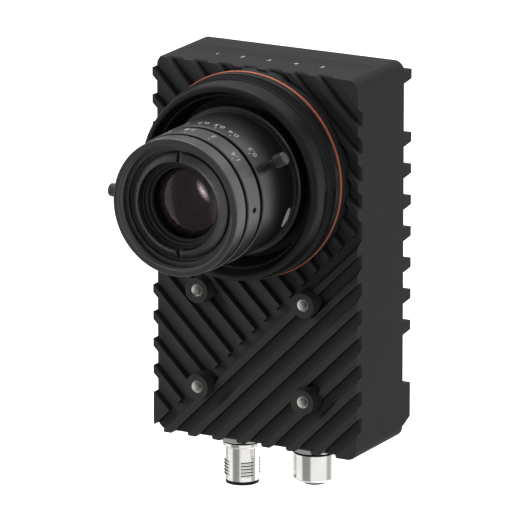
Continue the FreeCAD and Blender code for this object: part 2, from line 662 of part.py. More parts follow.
def mount_screws():
    """Flat-headed screws that hold the lens mount on the hub."""
    screws = []
    for seat in mount_screw_seats(FLANGE_FORWARD - M2_HEAD):
        shank = rod(M2_RADIUS, seat, seat + V(0, M2_LENGTH, 0))
        screws.append(shank.fuse(rod(M2_HEAD_RADIUS, seat - V(0, M2_HEAD, 0), seat)).removeSplitter())
    return Part.makeCompound(screws)


def infrared_filter():
    """Filter glass behind the lens mount."""
    rear = HUB_FORWARD - HUB_WALL
    return disc(rear, rear + FILTER_THICKNESS, FILTER_RADIUS)


# ---- Lens: fixed barrel and focus ring -------------------------------------------------------
def lens_barrel():
    """Fixed barrel: mount thread, shoulder, rear collar and the sleeve that carries the rings."""
    rear = FLANGE_FORWARD - LENS_THREAD_LENGTH
    return turned([(rear, LENS_THREAD_RADIUS), (FLANGE_FORWARD, LENS_THREAD_RADIUS),
                   (FLANGE_FORWARD, SHOULDER_RADIUS), (BARREL_REAR, SHOULDER_RADIUS),
                   (BARREL_REAR, BARREL_REAR_RADIUS), (BARREL_REAR + BARREL_TAPER, BARREL_RADIUS),
                   (BARREL_STOP - BARREL_EDGE, BARREL_RADIUS), (BARREL_STOP, BARREL_RADIUS - BARREL_EDGE),
                   (BARREL_STOP, SLEEVE_RADIUS), (SLEEVE_FRONT, SLEEVE_RADIUS), (SLEEVE_FRONT, SLEEVE_BORE),
                   (CELL_REAR - CELL_ROOM, SLEEVE_BORE), (CELL_REAR - CELL_ROOM, CELL_BORE),
                   (FLANGE_FORWARD, CELL_BORE - 1), (rear, CELL_BORE - 1)])


def focus_ring():
    """Distance ring that turns on the sleeve, with a bead at its rear edge and a lock hole."""
    bore = SLEEVE_RADIUS + RUNNING_CLEARANCE
    room = SLEEVE_RADIUS + RETAINER_RISE + RETAINER_ROOM
    step = SLEEVE_FRONT - RETAINER - SEAT_CLEARANCE
    bead_end = FOCUS_REAR + FOCUS_BEAD_WIDTH
    body = turned([(FOCUS_REAR, bore), (FOCUS_REAR, FOCUS_RADIUS + FOCUS_BEAD),
                   (bead_end, FOCUS_RADIUS + FOCUS_BEAD), (bead_end, FOCUS_RADIUS),
                   (FOCUS_FRONT - RING_CHAMFER, FOCUS_RADIUS), (FOCUS_FRONT, FOCUS_RADIUS - RING_CHAMFER),
                   (FOCUS_FRONT, room), (step, room), (step, bore)])
    return body.cut(lock_hole(FOCUS_LOCK_ANGLE, FOCUS_LOCK_FORWARD, FOCUS_RADIUS))


def focus_retainer():
    """Snap ring on the end of the sleeve that keeps the focus ring on."""
    return ring(SLEEVE_FRONT - RETAINER, SLEEVE_FRONT, SLEEVE_RADIUS, SLEEVE_RADIUS + RETAINER_RISE)


# ---- Lens: sliding cell with its glass -------------------------------------------------------
def front_cell():
    """Sliding cell: front rim with filter thread, neck for the iris ring and rear sleeve."""
    slide_radius = SLEEVE_BORE - RUNNING_CLEARANCE
    neck_rear = FOCUS_FRONT + NECK_CLEARANCE
    pocket = FILTER_FLOOR - RIM_POCKET_DEPTH
    return turned([(RIM_FRONT, RIM_RADIUS - RING_CHAMFER), (RIM_FRONT - RING_CHAMFER, RIM_RADIUS),
                   (RIM_REAR, RIM_RADIUS), (RIM_REAR, RIM_GROOVE_RADIUS), (GROOVE_REAR, RIM_GROOVE_RADIUS),
                   (GROOVE_REAR, NECK_RADIUS), (neck_rear, NECK_RADIUS), (neck_rear, slide_radius),
                   (CELL_REAR, slide_radius), (CELL_REAR, CELL_BORE), (GLASS_SEAT, CELL_BORE),
                   (GLASS_SEAT, GLASS_RADIUS + THREAD_CLEARANCE),
                   (CLAMP_SEAT, GLASS_RADIUS + THREAD_CLEARANCE),
                   (CLAMP_SEAT, CLAMP_RADIUS + THREAD_CLEARANCE),
                   (pocket, CLAMP_RADIUS + THREAD_CLEARANCE),
                   (pocket, RIM_POCKET_RADIUS), (FILTER_FLOOR, RIM_POCKET_RADIUS),
                   (FILTER_FLOOR, FILTER_THREAD_RADIUS),
                   (RIM_FRONT - FILTER_THREAD_CHAMFER, FILTER_THREAD_RADIUS),
                   (RIM_FRONT, FILTER_THREAD_RADIUS + FILTER_THREAD_CHAMFER)])


def clamp_ring():
    """Threaded ring that clamps the front glass, with two spanner slots."""
    front = FILTER_FLOOR + CLAMP_RISE
    body = turned([(CLAMP_REAR, CLAMP_BORE), (CLAMP_REAR, CLAMP_RADIUS),
                   (FILTER_FLOOR - CLAMP_SINK, CLAMP_RADIUS),
                   (front, CLAMP_BORE + RING_CHAMFER), (front, CLAMP_BORE)])
    slot = box(-CLAMP_SLOT / 2, CLAMP_SLOT / 2,
               FLOOR_Y - front - 1, FLOOR_Y - FILTER_FLOOR + CLAMP_SLOT_DEPTH,
               AXIS_Z - CLAMP_RADIUS - 1, AXIS_Z + CLAMP_RADIUS + 1)
    return body.cut(slot)


def front_baffle():
    """Black stepped ring between the clamp ring and the front glass."""
    radius = CLAMP_BORE - SEAT_CLEARANCE
    top = CLAMP_SEAT + BAFFLE_LENGTH
    corners = [(CLAMP_SEAT, CLAMP_RADIUS - SEAT_CLEARANCE), (CLAMP_REAR, CLAMP_RADIUS - SEAT_CLEARANCE),
               (CLAMP_REAR, radius), (top, radius)]
    while top > CLAMP_SEAT + BAFFLE_STEP / 2:
        radius -= BAFFLE_LEDGE
        corners.append((top, radius))
        top -= BAFFLE_STEP
        radius -= BAFFLE_TAPER
        corners.append((top, radius))
    return turned(corners)


def drop(curve, radius):
    """How far a spherical surface falls back between its middle and a radius."""
    return curve - math.sqrt(curve * curve - radius * radius)


def glass_element(rear, length, radius, front_curve, rear_curve):
    """Round lens element with a convex front; a negative rear curve hollows its back."""
    front = rear + length
    bulge = math.copysign(1, rear_curve)
    rear_curve = abs(rear_curve)
    half = radius / 2
    tip = on_axis(front + drop(front_curve, radius))
    tail = on_axis(rear - bulge * drop(rear_curve, radius))
    front_mid = radial(0, half, front + drop(front_curve, radius) - drop(front_curve, half))
    rear_mid = radial(0, half, rear - bulge * (drop(rear_curve, radius) - drop(rear_curve, half)))
    edge_rear, edge_front = radial(0, radius, rear), radial(0, radius, front)
    outline = Part.Wire([Part.LineSegment(tail, tip).toShape(),
                         Part.Arc(tip, front_mid, edge_front).toShape(),
                         Part.LineSegment(edge_front, edge_rear).toShape(),
                         Part.Arc(edge_rear, rear_mid, tail).toShape()])
    return Part.Face(outline).revolve(on_axis(0), BACKWARD, 360)


def front_glass():
    """Domed front element, hollow at the back."""
    return glass_element(GLASS_SEAT, GLASS_LENGTH, GLASS_RADIUS, GLASS_CURVE, -GLASS_HOLLOW)


def middle_glass():
    """Middle element, held in the cell behind the iris."""
    return glass_element(MIDDLE_GLASS, MIDDLE_GLASS_LENGTH, CELL_BORE - THREAD_CLEARANCE,
                         MIDDLE_GLASS_FRONT, MIDDLE_GLASS_BACK)


def rear_glass():
    """Rear element, at the back of the cell."""
    return glass_element(REAR_GLASS, REAR_GLASS_LENGTH, CELL_BORE - THREAD_CLEARANCE,
                         REAR_GLASS_FRONT, REAR_GLASS_BACK)


def glass_spacer():
    """Black tube between the middle and rear elements, bevelled to clear their domes."""
    radius = CELL_BORE - THREAD_CLEARANCE
    bore = radius - SPACER_WALL
    rear_bevel = drop(REAR_GLASS_FRONT, radius) - drop(REAR_GLASS_FRONT, bore) + SEAT_CLEARANCE
    front_bevel = drop(MIDDLE_GLASS_BACK, radius) - drop(MIDDLE_GLASS_BACK, bore) + SEAT_CLEARANCE
    return turned([(SPACER_REAR, radius), (MIDDLE_GLASS, radius), (MIDDLE_GLASS - front_bevel, bore),
                   (SPACER_REAR + rear_bevel, bore)])


def iris_diaphragm():
    """Closed stack of iris leaves with a many-sided opening."""
    body = disc(IRIS_STACK_REAR, IRIS_STACK_REAR + IRIS_STACK, CELL_BORE - THREAD_CLEARANCE)
    corners = [radial(360 / BLADE_COUNT * step, APERTURE_RADIUS, IRIS_STACK_REAR - 1)
               for step in range(BLADE_COUNT + 1)]
    return body.cut(Part.Face(Part.makePolygon(corners)).extrude(V(0, -IRIS_STACK - 2, 0)))


# ---- Lens: iris ring and lock screws ---------------------------------------------------------
def iris_ring():
    """Aperture ring that turns on the neck, with holes for its lock screw and set screw."""
    bore = NECK_RADIUS + RUNNING_CLEARANCE
    middle = (IRIS_REAR + IRIS_FRONT) / 2
    edge = IRIS_RADIUS - RING_CHAMFER
    body = turned([(IRIS_REAR, bore), (IRIS_REAR, edge), (IRIS_REAR + RING_CHAMFER, IRIS_RADIUS),
                   (IRIS_FRONT - RING_CHAMFER, IRIS_RADIUS), (IRIS_FRONT, edge), (IRIS_FRONT, bore)])
    return body.cut(lock_hole(IRIS_LOCK_ANGLE, middle, IRIS_RADIUS)).cut(
        lock_hole(SET_SCREW_ANGLE, middle, IRIS_RADIUS))


def iris_retainer():
    """Snap ring on the neck that keeps the iris ring on."""
    front = IRIS_REAR - SEAT_CLEARANCE
    return ring(front - NECK_RETAINER, front, NECK_RADIUS, NECK_RADIUS + RETAINER_RISE)


def lock_hole(angle, forward, radius):
    """Radial hole for a lock or set screw."""
    return rod(LOCK_THREAD_RADIUS, radial(angle, radius / 2, forward), radial(angle, radius + 1, forward))


def lock_screw(angle, forward, radius):
    """Thumb screw: thread in the ring, thin neck and plain round head."""
    head = radius + KNOB_STANDOFF
    thread = rod(LOCK_THREAD_RADIUS - THREAD_CLEARANCE, radial(angle, radius - LOCK_THREAD_DEPTH, forward),
                 radial(angle, radius + 0.2, forward))
    neck = rod(LOCK_NECK_RADIUS, radial(angle, radius + 0.2, forward), radial(angle, head, forward))
    knob = rod(KNOB_RADIUS, radial(angle, head, forward), radial(angle, head + KNOB_LENGTH, forward))
    rims = [edge for edge in knob.Edges if isinstance(edge.Curve, Part.Circle)]
    return thread.fuse(neck).fuse(knob.makeChamfer(KNOB_CHAMFER, rims)).removeSplitter()


def focus_lock_screw():
    """Thumb screw of the focus ring."""
    return lock_screw(FOCUS_LOCK_ANGLE, FOCUS_LOCK_FORWARD, FOCUS_RADIUS)


def iris_lock_screw():
    """Thumb screw of the iris ring."""
    return lock_screw(IRIS_LOCK_ANGLE, (IRIS_REAR + IRIS_FRONT) / 2, IRIS_RADIUS)


def iris_set_screw():
    """Headless screw that ties the iris ring to the leaves' cam."""
    middle = (IRIS_REAR + IRIS_FRONT) / 2
    foot = NECK_RADIUS + RUNNING_CLEARANCE + SEAT_CLEARANCE
    return rod(LOCK_THREAD_RADIUS - THREAD_CLEARANCE, radial(SET_SCREW_ANGLE, foot, middle),
               radial(SET_SCREW_ANGLE, foot + SET_SCREW_LENGTH, middle))


# ---- Sensor and boards -----------------------------------------------------------------------
def image_sensor():
    """Sensor package on the optical axis, with its image plane at the flange focal distance."""
    return box(-SENSOR_WIDTH / 2, SENSOR_WIDTH / 2, BOARD_Y - SENSOR_THICKNESS, BOARD_Y,
               AXIS_Z - SENSOR_HEIGHT / 2, AXIS_Z + SENSOR_HEIGHT / 2)


def sensor_posts():
    """Centres of the sensor board's standoffs."""
    return [(x, AXIS_Z + z) for x in (-SENSOR_POST, SENSOR_POST) for z in (-SENSOR_POST, SENSOR_POST)]


def main_posts():
    """Centres of the processor board's standoffs."""
    reach = MAIN_BOARD_WIDTH / 2 - MAIN_POST_INSET
    low = BOTTOM_Z + MAIN_BOARD_FOOT + MAIN_POST_FOOT
    high = TOP_Z - MAIN_BOARD_HEADROOM - MAIN_POST_TOP
    return [(x, z) for x in (-reach, reach) for z in (low, high)]


def drilled(board, points, y):
    """Board with a screw hole at each point."""
    holes = [rod(M25_RADIUS + SEAT_CLEARANCE, V(x, y - 1, z), V(x, y + BOARD + 1, z)) for x, z in points]
    return board.cut(Part.makeCompound(holes))


def standoffs(points, y):
    """Round brass standoffs from the front wall to a board."""
    posts = []
    for x, z in points:
        post = rod(STANDOFF_RADIUS, V(x, INNER_Y, z), V(x, y, z))
        posts.append(post.cut(rod(M25_RADIUS + THREAD_CLEARANCE, V(x, y - M25_LENGTH, z), V(x, y, z))))
    return Part.makeCompound(posts)


def board_screws():
    """Pan-headed screws that hold both boards on their standoffs."""
    screws = []
    for points, y in ((sensor_posts(), BOARD_Y), (main_posts(), MAIN_Y)):
        for x, z in points:
            seat = V(x, y + BOARD, z)
            shank = rod(M25_RADIUS, seat, seat - V(0, M25_LENGTH, 0))
            screws.append(shank.fuse(rod(M25_HEAD_RADIUS, seat, seat + V(0, M25_HEAD, 0))).removeSplitter())
    return Part.makeCompound(screws)


def sensor_board():
    """Square board behind the lens."""
    reach = SENSOR_BOARD_SIZE / 2
    board = box(-reach, reach, BOARD_Y, BOARD_Y + BOARD, AXIS_Z - reach, AXIS_Z + reach)
    return drilled(board, sensor_posts(), BOARD_Y)


def main_board():
    """Tall processor board."""
    board = box(-MAIN_BOARD_WIDTH / 2, MAIN_BOARD_WIDTH / 2, MAIN_Y, MAIN_Y + BOARD,
                BOTTOM_Z + MAIN_BOARD_FOOT, TOP_Z - MAIN_BOARD_HEADROOM)
    return drilled(board, main_posts(), MAIN_Y)


def processor():
    """Processor package on the back of the tall board."""
    z = BOTTOM_Z + CHIP_HEIGHT
    return box(-CHIP_SIZE / 2, CHIP_SIZE / 2, MAIN_Y + BOARD, MAIN_Y + BOARD + CHIP,
               z - CHIP_SIZE / 2, z + CHIP_SIZE / 2)


def thermal_pad():
    """Soft pad between the processor and the cover's pedestal."""
    z = BOTTOM_Z + CHIP_HEIGHT
    reach = CHIP_SIZE / 2 + PAD_MARGIN / 2
    y = MAIN_Y + BOARD + CHIP
    return box(-reach, reach, y, y + PAD, z - reach, z + reach)


def board_link():
    """Plug connection between the sensor board and the processor board."""
    z = AXIS_Z - LINK_BELOW_AXIS
    return box(-LINK_WIDTH / 2, LINK_WIDTH / 2, BOARD_Y + BOARD, MAIN_Y,
               z - LINK_DEPTH / 2, z + LINK_DEPTH / 2)


def io_board():
    """Level board that both ports are soldered to, with a hole for every pin."""
    board = box(-IO_BOARD_WIDTH / 2, IO_BOARD_WIDTH / 2, PORT_Y - IO_BOARD_DEPTH / 2,
                PORT_Y + IO_BOARD_DEPTH / 2, IO_BOARD_Z, IO_BOARD_Z + BOARD)
    holes = [rod(CONTACT_RADIUS + THREAD_CLEARANCE, point + V(0, 0, IO_BOARD_Z - 1),
                 point + V(0, 0, IO_BOARD_Z + BOARD + 1))
             for side in (-1, 1) for point in contact_points(side)]
    return board.cut(Part.makeCompound(holes))


def io_header():
    """Angled header that joins the port board to the processor board."""
    z = IO_BOARD_Z + BOARD
    return box(-IO_HEADER_WIDTH / 2, IO_HEADER_WIDTH / 2, MAIN_Y - IO_HEADER_DEPTH, MAIN_Y,
               z, z + IO_HEADER_HEIGHT)


# ---- Status lamps under the top window -------------------------------------------------------
def window_strip(clearance, z0, z1, inset):
    """Long strip with round ends on the window's centre line."""
    length = WINDOW_LENGTH - 2 * inset + 2 * clearance
    width = WINDOW_WIDTH - 2 * inset + 2 * clearance
    strip = box(-length / 2, length / 2, WINDOW_Y - width / 2, WINDOW_Y + width / 2, z0, z1)
    corners = [edge for edge in strip.Edges if abs(edge.tangentAt(edge.FirstParameter).z) > 0.9]
    return strip.makeFillet(1.0, corners)


def lamp_window():
    """Smoked window, flush with the top, with a light guide below it."""
    plate = window_strip(0, TOP_Z - WINDOW_PLATE, TOP_Z, 0)
    guide = window_strip(0, TOP_Z - WINDOW_PLATE - WINDOW_GUIDE, TOP_Z - WINDOW_PLATE, WINDOW_LEDGE)
    return plate.fuse(guide).removeSplitter()


def lamp_board_top():
    """Z of the lamp board's upper face."""
    return TOP_Z - SIDE_WALL - LAMP_BOARD_DROP


def status_lamps():
    """Row of light-emitting diodes."""
    middle = (LAMP_COUNT - 1) / 2
    z = lamp_board_top()
    places = [(number - middle) * LAMP_PITCH for number in range(LAMP_COUNT)]
    return Part.makeCompound([box(x - LAMP_LENGTH / 2, x + LAMP_LENGTH / 2,
                                  WINDOW_Y - LAMP_WIDTH / 2, WINDOW_Y + LAMP_WIDTH / 2, z, z + LAMP_HEIGHT)
                              for x in places])


def lamp_link():
    """Plug connection from the lamp board down to the processor board."""
    low = TOP_Z - MAIN_BOARD_HEADROOM - LAMP_LINK_OVERLAP
    return box(-LAMP_LINK_WIDTH / 2, LAMP_LINK_WIDTH / 2, MAIN_Y - LAMP_LINK_DEPTH, MAIN_Y,
               low, lamp_board_top() - LAMP_BOARD)


def lamp_board():
    """Narrow board that carries the lamps, notched where it would meet a screw pillar."""
    z = lamp_board_top()
    back = WINDOW_Y + LAMP_POST_OFFSET + LAMP_POST_RADIUS
    board = box(-LAMP_BOARD_LENGTH / 2, LAMP_BOARD_LENGTH / 2, back - LAMP_BOARD_WIDTH, back,
                z - LAMP_BOARD, z)
    holes = [rod(M2_RADIUS + SEAT_CLEARANCE, V(post.x, post.y, z - LAMP_BOARD - 1), V(post.x, post.y, z + 1))
             for post in lamp_posts()]
    notch = PILLAR_RADIUS + PILLAR_ROOM
    holes += [rod(notch, V(x, INNER_Y, z), V(x, COVER_Y, z)) for x, z in pillar_points()]
    return board.cut(Part.makeCompound(holes))


def lamp_board_screws():
    """Two screws from below into the posts under the top wall."""
    screws = []
    for post in lamp_posts():
        seat = V(post.x, post.y, lamp_board_top() - LAMP_BOARD)
        shank = rod(M2_RADIUS, seat, seat + V(0, 0, M2_LENGTH))
        screws.append(shank.fuse(rod(M2_HEAD_RADIUS, seat - V(0, 0, M2_HEAD), seat)).removeSplitter())
    return Part.makeCompound(screws)


# ---- Round ports under the housing -----------------------------------------------------------
def contact_points(side):
    """Contacts on a circle and one in the middle, as points at height zero."""
    centre = V(port_x(side), PORT_Y, 0)
    circle = [centre + V(CONTACT_CIRCLE * math.cos(2 * math.pi * step / CONTACT_COUNT),
                         CONTACT_CIRCLE * math.sin(2 * math.pi * step / CONTACT_COUNT), 0)
              for step in range(CONTACT_COUNT)]
    return circle + [centre]


def port_collar(side, bore):
    """Threaded tail, seal groove and hexagon that both ports share."""
    x = port_x(side)
    tail = upright(x, [(0, bore), (0, PORT_THREAD_RADIUS), (PORT_THREAD_RISE, PORT_THREAD_RADIUS),
                       (PORT_THREAD_RISE, bore)])
    nut = hexagon(PORT_HEX, x, BOTTOM_Z - PORT_HEX_HEIGHT, BOTTOM_Z)
    reach = PORT_HEX / 2 / math.cos(math.pi / 6)
    chamfer = upright(x, [(0, 0), (0, reach), (-PORT_HEX_HEIGHT + 1.0, reach),
                          (-PORT_HEX_HEIGHT, PORT_HEX / 2 - 0.4), (-PORT_HEX_HEIGHT, 0)])
    groove = upright(x, [(1, PORT_SEAL_RADIUS - PORT_SEAL_SECTION), (1, PORT_SEAL_RADIUS + PORT_SEAL_SECTION),
                         (-2 * PORT_SEAL_SECTION, PORT_SEAL_RADIUS + PORT_SEAL_SECTION),
                         (-2 * PORT_SEAL_SECTION, PORT_SEAL_RADIUS - PORT_SEAL_SECTION)])
    hole = rod(bore, V(x, PORT_Y, BOTTOM_Z - PORT_HEX_HEIGHT - 1), V(x, PORT_Y, BOTTOM_Z + 1))
    return nut.common(chamfer).cut(groove).cut(hole).fuse(tail)


def port_seal(side):
    """O-ring under the hexagon."""
    return Part.makeTorus(PORT_SEAL_RADIUS, PORT_SEAL_SECTION,
                          V(port_x(side), PORT_Y, BOTTOM_Z - PORT_SEAL_SECTION), UP)


def port_nut(side):
    """Hexagon nut inside the bottom wall."""
    x = port_x(side)
    nut = hexagon(PORT_NUT_HEX, x, PORT_WALL_Z, PORT_WALL_Z + PORT_NUT)
    return nut.cut(rod(PORT_THREAD_RADIUS + THREAD_CLEARANCE, V(x, PORT_Y, PORT_WALL_Z - 1),
                       V(x, PORT_Y, PORT_WALL_Z + PORT_NUT + 1)))


def power_shell():
    """Plug shell: grooved step, barrel and four lugs of interrupted thread."""
    x = port_x(-1)
    core = PORT_CORE_RADIUS + SEAT_CLEARANCE
    groove_end = PORT_HEX_HEIGHT + PORT_GROOVE
    step_end = groove_end + PORT_STEP
    floor = POWER_FLOOR_DEPTH - POWER_FLOOR
    barrel = upright(x, [(-PORT_HEX_HEIGHT, core), (-PORT_HEX_HEIGHT, PORT_GROOVE_RADIUS),
                         (-groove_end, PORT_GROOVE_RADIUS), (-groove_end, PORT_STEP_RADIUS),
                         (-step_end + 0.4, PORT_STEP_RADIUS), (-step_end, PORT_STEP_RADIUS - 0.4),
                         (-step_end, POWER_BARREL_RADIUS), (-POWER_BARREL_END, POWER_BARREL_RADIUS),
                         (-POWER_BARREL_END, POWER_BORE), (-floor, POWER_BORE), (-floor, core)])
    ridges = []
    for number in range(LUG_RIDGES):
        middle = -LUG_START - LUG_PITCH * (number + 0.5)
        tooth = [V(x + radius, PORT_Y, BOTTOM_Z + middle + rise) for radius, rise in (
            (POWER_BARREL_RADIUS - 0.2, -LUG_PITCH * 0.42), (LUG_RADIUS, -LUG_PITCH * 0.15),
            (LUG_RADIUS, LUG_PITCH * 0.15), (POWER_BARREL_RADIUS - 0.2, LUG_PITCH * 0.42))]
        face = Part.Face(Part.makePolygon(tooth + tooth[:1]))
        for lug in range(LUG_COUNT):
            turned_face = face.copy()
            start = (lug + 0.5) * 360 / LUG_COUNT - LUG_ANGLE / 2
            turned_face.rotate(V(x, PORT_Y, 0), UP, start)
            ridges.append(turned_face.revolve(V(x, PORT_Y, 0), UP, LUG_ANGLE))
    return port_collar(-1, core).fuse(barrel).multiFuse(ridges).removeSplitter()


def power_insert():
    """Black carrier: end ring, liner with its key, floor and tail."""
    x = port_x(-1)
    radius = POWER_BORE - THREAD_CLEARANCE
    bore = radius - POWER_LINER
    end = POWER_BARREL_END + POWER_RING
    floor = POWER_FLOOR_DEPTH - POWER_FLOOR
    body = upright(x, [(-end, bore), (-end, POWER_BARREL_RADIUS), (-POWER_BARREL_END, POWER_BARREL_RADIUS),
                       (-POWER_BARREL_END, radius), (-floor, radius), (-floor, PORT_CORE_RADIUS),
                       (PORT_THREAD_RISE, PORT_CORE_RADIUS), (PORT_THREAD_RISE, 0),
                       (-POWER_FLOOR_DEPTH, 0), (-POWER_FLOOR_DEPTH, bore)])
    key = box(x - KEY_WIDTH / 2, x + KEY_WIDTH / 2, PORT_Y + bore - KEY_HEIGHT, PORT_Y + bore + 0.3,
              BOTTOM_Z - end + 1, BOTTOM_Z - POWER_FLOOR_DEPTH)
    holes = [rod(CONTACT_RADIUS, point + V(0, 0, BOTTOM_Z - POWER_FLOOR_DEPTH - 1),
                 point + V(0, 0, BOTTOM_Z + PORT_THREAD_RISE + 1)) for point in contact_points(-1)]
    return body.fuse(key).cut(Part.makeCompound(holes)).removeSplitter()


def contact_rods(side, low):
    """Contacts of one port, from a height up through the port board."""
    return Part.makeCompound([rod(CONTACT_RADIUS, V(point.x, point.y, low),
                                  V(point.x, point.y, IO_BOARD_Z + BOARD + CONTACT_PROUD))
                              for point in contact_points(side)])


def power_pins():
    """Round pins from the plug face up to the port board."""
    return contact_rods(-1, BOTTOM_Z - POWER_BARREL_END + PIN_SHORTFALL)


def network_shell():
    """Socket shell with an internal thread and a chamfered mouth."""
    x = port_x(1)
    core = PORT_CORE_RADIUS + SEAT_CLEARANCE
    groove_end = PORT_HEX_HEIGHT + PORT_GROOVE
    barrel = upright(x, [(-PORT_HEX_HEIGHT, core), (-PORT_HEX_HEIGHT, PORT_GROOVE_RADIUS),
                         (-groove_end, PORT_GROOVE_RADIUS), (-groove_end, NETWORK_RADIUS),
                         (-NETWORK_END + NETWORK_CHAMFER, NETWORK_RADIUS),
                         (-NETWORK_END, NETWORK_RADIUS - NETWORK_CHAMFER),
                         (-NETWORK_END, NETWORK_BORE + PORT_LEAD),
                         (-NETWORK_END + PORT_LEAD, NETWORK_BORE), (-NETWORK_FLOOR_DEPTH, NETWORK_BORE),
                         (-NETWORK_FLOOR_DEPTH, core)])
    return port_collar(1, core).fuse(barrel).removeSplitter()


def network_insert():
    """Black contact carrier that stands out of the shell."""
    end = NETWORK_END + NETWORK_PROUD
    body = upright(port_x(1), [(-end, 0), (-end, PORT_CORE_RADIUS - PORT_LEAD),
                               (-end + PORT_LEAD, PORT_CORE_RADIUS),
                               (PORT_THREAD_RISE, PORT_CORE_RADIUS), (PORT_THREAD_RISE, 0)])
    holes = [rod(CONTACT_RADIUS, point + V(0, 0, BOTTOM_Z - end + SOCKET_DEPTH),
                 point + V(0, 0, BOTTOM_Z + PORT_THREAD_RISE + 1)) for point in contact_points(1)]
    holes += [rod(SOCKET_RADIUS, point + V(0, 0, BOTTOM_Z - end - 1),
                  point + V(0, 0, BOTTOM_Z - end + SOCKET_DEPTH)) for point in contact_points(1)]
    return body.cut(Part.makeCompound(holes))


def network_contacts():
    """Contacts from the bottom of the sockets up to the port board."""
    return contact_rods(1, BOTTOM_Z - NETWORK_END - NETWORK_PROUD + SOCKET_DEPTH)


# ---- One STEP file for each node -------------------------------------------------------------
NODES = {
    "front_housing": front_housing,
    "boss_inserts": boss_inserts,
    "rear_cover": rear_cover,
    "cover_gasket": lambda: gasket_loop(GASKET_WIDTH, COVER_Y - GASKET_DEPTH, COVER_Y),
    "cover_screws": cover_screws,
    "lens_tube": lens_tube,
    "cover_seal": cover_seal,
    "lens_mount": lens_mount,
    "mount_screws": mount_screws,
    "infrared_filter": infrared_filter,
    "lens_barrel": lens_barrel,
    "focus_ring": focus_ring,
    "focus_retainer": focus_retainer,
    "focus_lock_screw": focus_lock_screw,
    "front_cell": front_cell,
    "clamp_ring": clamp_ring,
    "front_baffle": front_baffle,
    "front_glass": front_glass,
    "iris_diaphragm": iris_diaphragm,
    "middle_glass": middle_glass,
    "glass_spacer": glass_spacer,
    "rear_glass": rear_glass,
    "iris_ring": iris_ring,
    "iris_retainer": iris_retainer,
    "iris_lock_screw": iris_lock_screw,
    "iris_set_screw": iris_set_screw,
    "image_sensor": image_sensor,
    "sensor_board": sensor_board,
    "sensor_standoffs": lambda: standoffs(sensor_posts(), BOARD_Y),
    "main_board": main_board,
    "main_standoffs": lambda: standoffs(main_posts(), MAIN_Y),
    "board_screws": board_screws,
    "processor": processor,
    "thermal_pad": thermal_pad,
    "board_link": board_link,
    "io_board": io_board,
    "io_header": io_header,
    "lamp_window": lamp_window,
    "status_lamps": status_lamps,
    "lamp_board": lamp_board,
    "lamp_link": lamp_link,
    "lamp_board_screws": lamp_board_screws,
    "power_shell": power_shell,
    "power_insert": power_insert,
    "power_pins": power_pins,
    "power_seal": lambda: port_seal(-1),
    "power_nut": lambda: port_nut(-1),
    "network_shell": network_shell,
    "network_insert": network_insert,
    "network_contacts": network_contacts,
    "network_seal": lambda: port_seal(1),
    "network_nut": lambda: port_nut(1),
}

os.makedirs("parts", exist_ok=True)
for name, build in NODES.items():
    shape = build()
    shape.exportStep("parts/" + name + ".step")
    print(name, "solids", len(shape.Solids), "volume", round(shape.Volume, 1), "valid", shape.isValid())
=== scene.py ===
"""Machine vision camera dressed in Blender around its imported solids."""

import json
import math

import bpy
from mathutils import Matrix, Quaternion, Vector


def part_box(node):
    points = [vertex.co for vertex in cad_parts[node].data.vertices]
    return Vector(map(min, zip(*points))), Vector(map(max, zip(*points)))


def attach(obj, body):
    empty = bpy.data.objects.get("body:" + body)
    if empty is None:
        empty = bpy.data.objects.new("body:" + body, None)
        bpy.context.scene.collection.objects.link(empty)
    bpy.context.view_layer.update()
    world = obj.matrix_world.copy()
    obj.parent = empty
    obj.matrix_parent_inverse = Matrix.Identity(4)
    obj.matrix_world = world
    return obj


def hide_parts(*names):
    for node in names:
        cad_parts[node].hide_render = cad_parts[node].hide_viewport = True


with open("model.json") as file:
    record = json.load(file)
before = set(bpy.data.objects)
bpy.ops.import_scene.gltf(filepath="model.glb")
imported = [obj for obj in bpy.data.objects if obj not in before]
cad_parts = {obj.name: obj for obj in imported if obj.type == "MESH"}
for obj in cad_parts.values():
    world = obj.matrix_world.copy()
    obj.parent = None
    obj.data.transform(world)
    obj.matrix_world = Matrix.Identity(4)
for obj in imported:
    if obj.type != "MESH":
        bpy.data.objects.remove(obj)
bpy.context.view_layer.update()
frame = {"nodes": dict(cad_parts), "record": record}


# ---- Front housing ---------------------------------------------------------------------------
# One die casting with its ribs, collar and bosses, in aluminium with a matt charcoal powder
# coat. The rib edges are slightly rounded, as the coat leaves them.

MM = 0.001


def fresh_material(name, colour, roughness, metallic=0.0, gloss=0.5):
    """A material with its Principled shader set up; returns the material, its nodes and shader."""
    material = bpy.data.materials.new(name)
    material.use_nodes = True
    shader = material.node_tree.nodes["Principled BSDF"]
    shader.inputs["Base Color"].default_value = (*colour, 1)
    shader.inputs["Roughness"].default_value = roughness
    shader.inputs["Metallic"].default_value = metallic
    shader.inputs["Specular IOR Level"].default_value = gloss
    material.diffuse_color = (*colour, 1)
    return material, material.node_tree, shader


def add_group(tree, group, **values):
    """A shader node group placed in a material, with its inputs set by name."""
    node = tree.nodes.new("ShaderNodeGroup")
    node.node_tree = group
    for key, value in values.items():
        node.inputs[key.replace("_", " ")].default_value = value
    return node


def start_group(name, inputs, outputs):
    """An empty shader node group; an input without a value is a vector."""
    group = bpy.data.node_groups.new(name, "ShaderNodeTree")
    for key, value in inputs.items():
        kind = "NodeSocketVector" if value is None else "NodeSocketFloat"
        socket = group.interface.new_socket(key, in_out="INPUT", socket_type=kind)
        if value is not None:
            socket.default_value = value
    for key in outputs:
        group.interface.new_socket(key, in_out="OUTPUT", socket_type="NodeSocketFloat")
    return group, group.nodes.new("NodeGroupInput"), group.nodes.new("NodeGroupOutput")


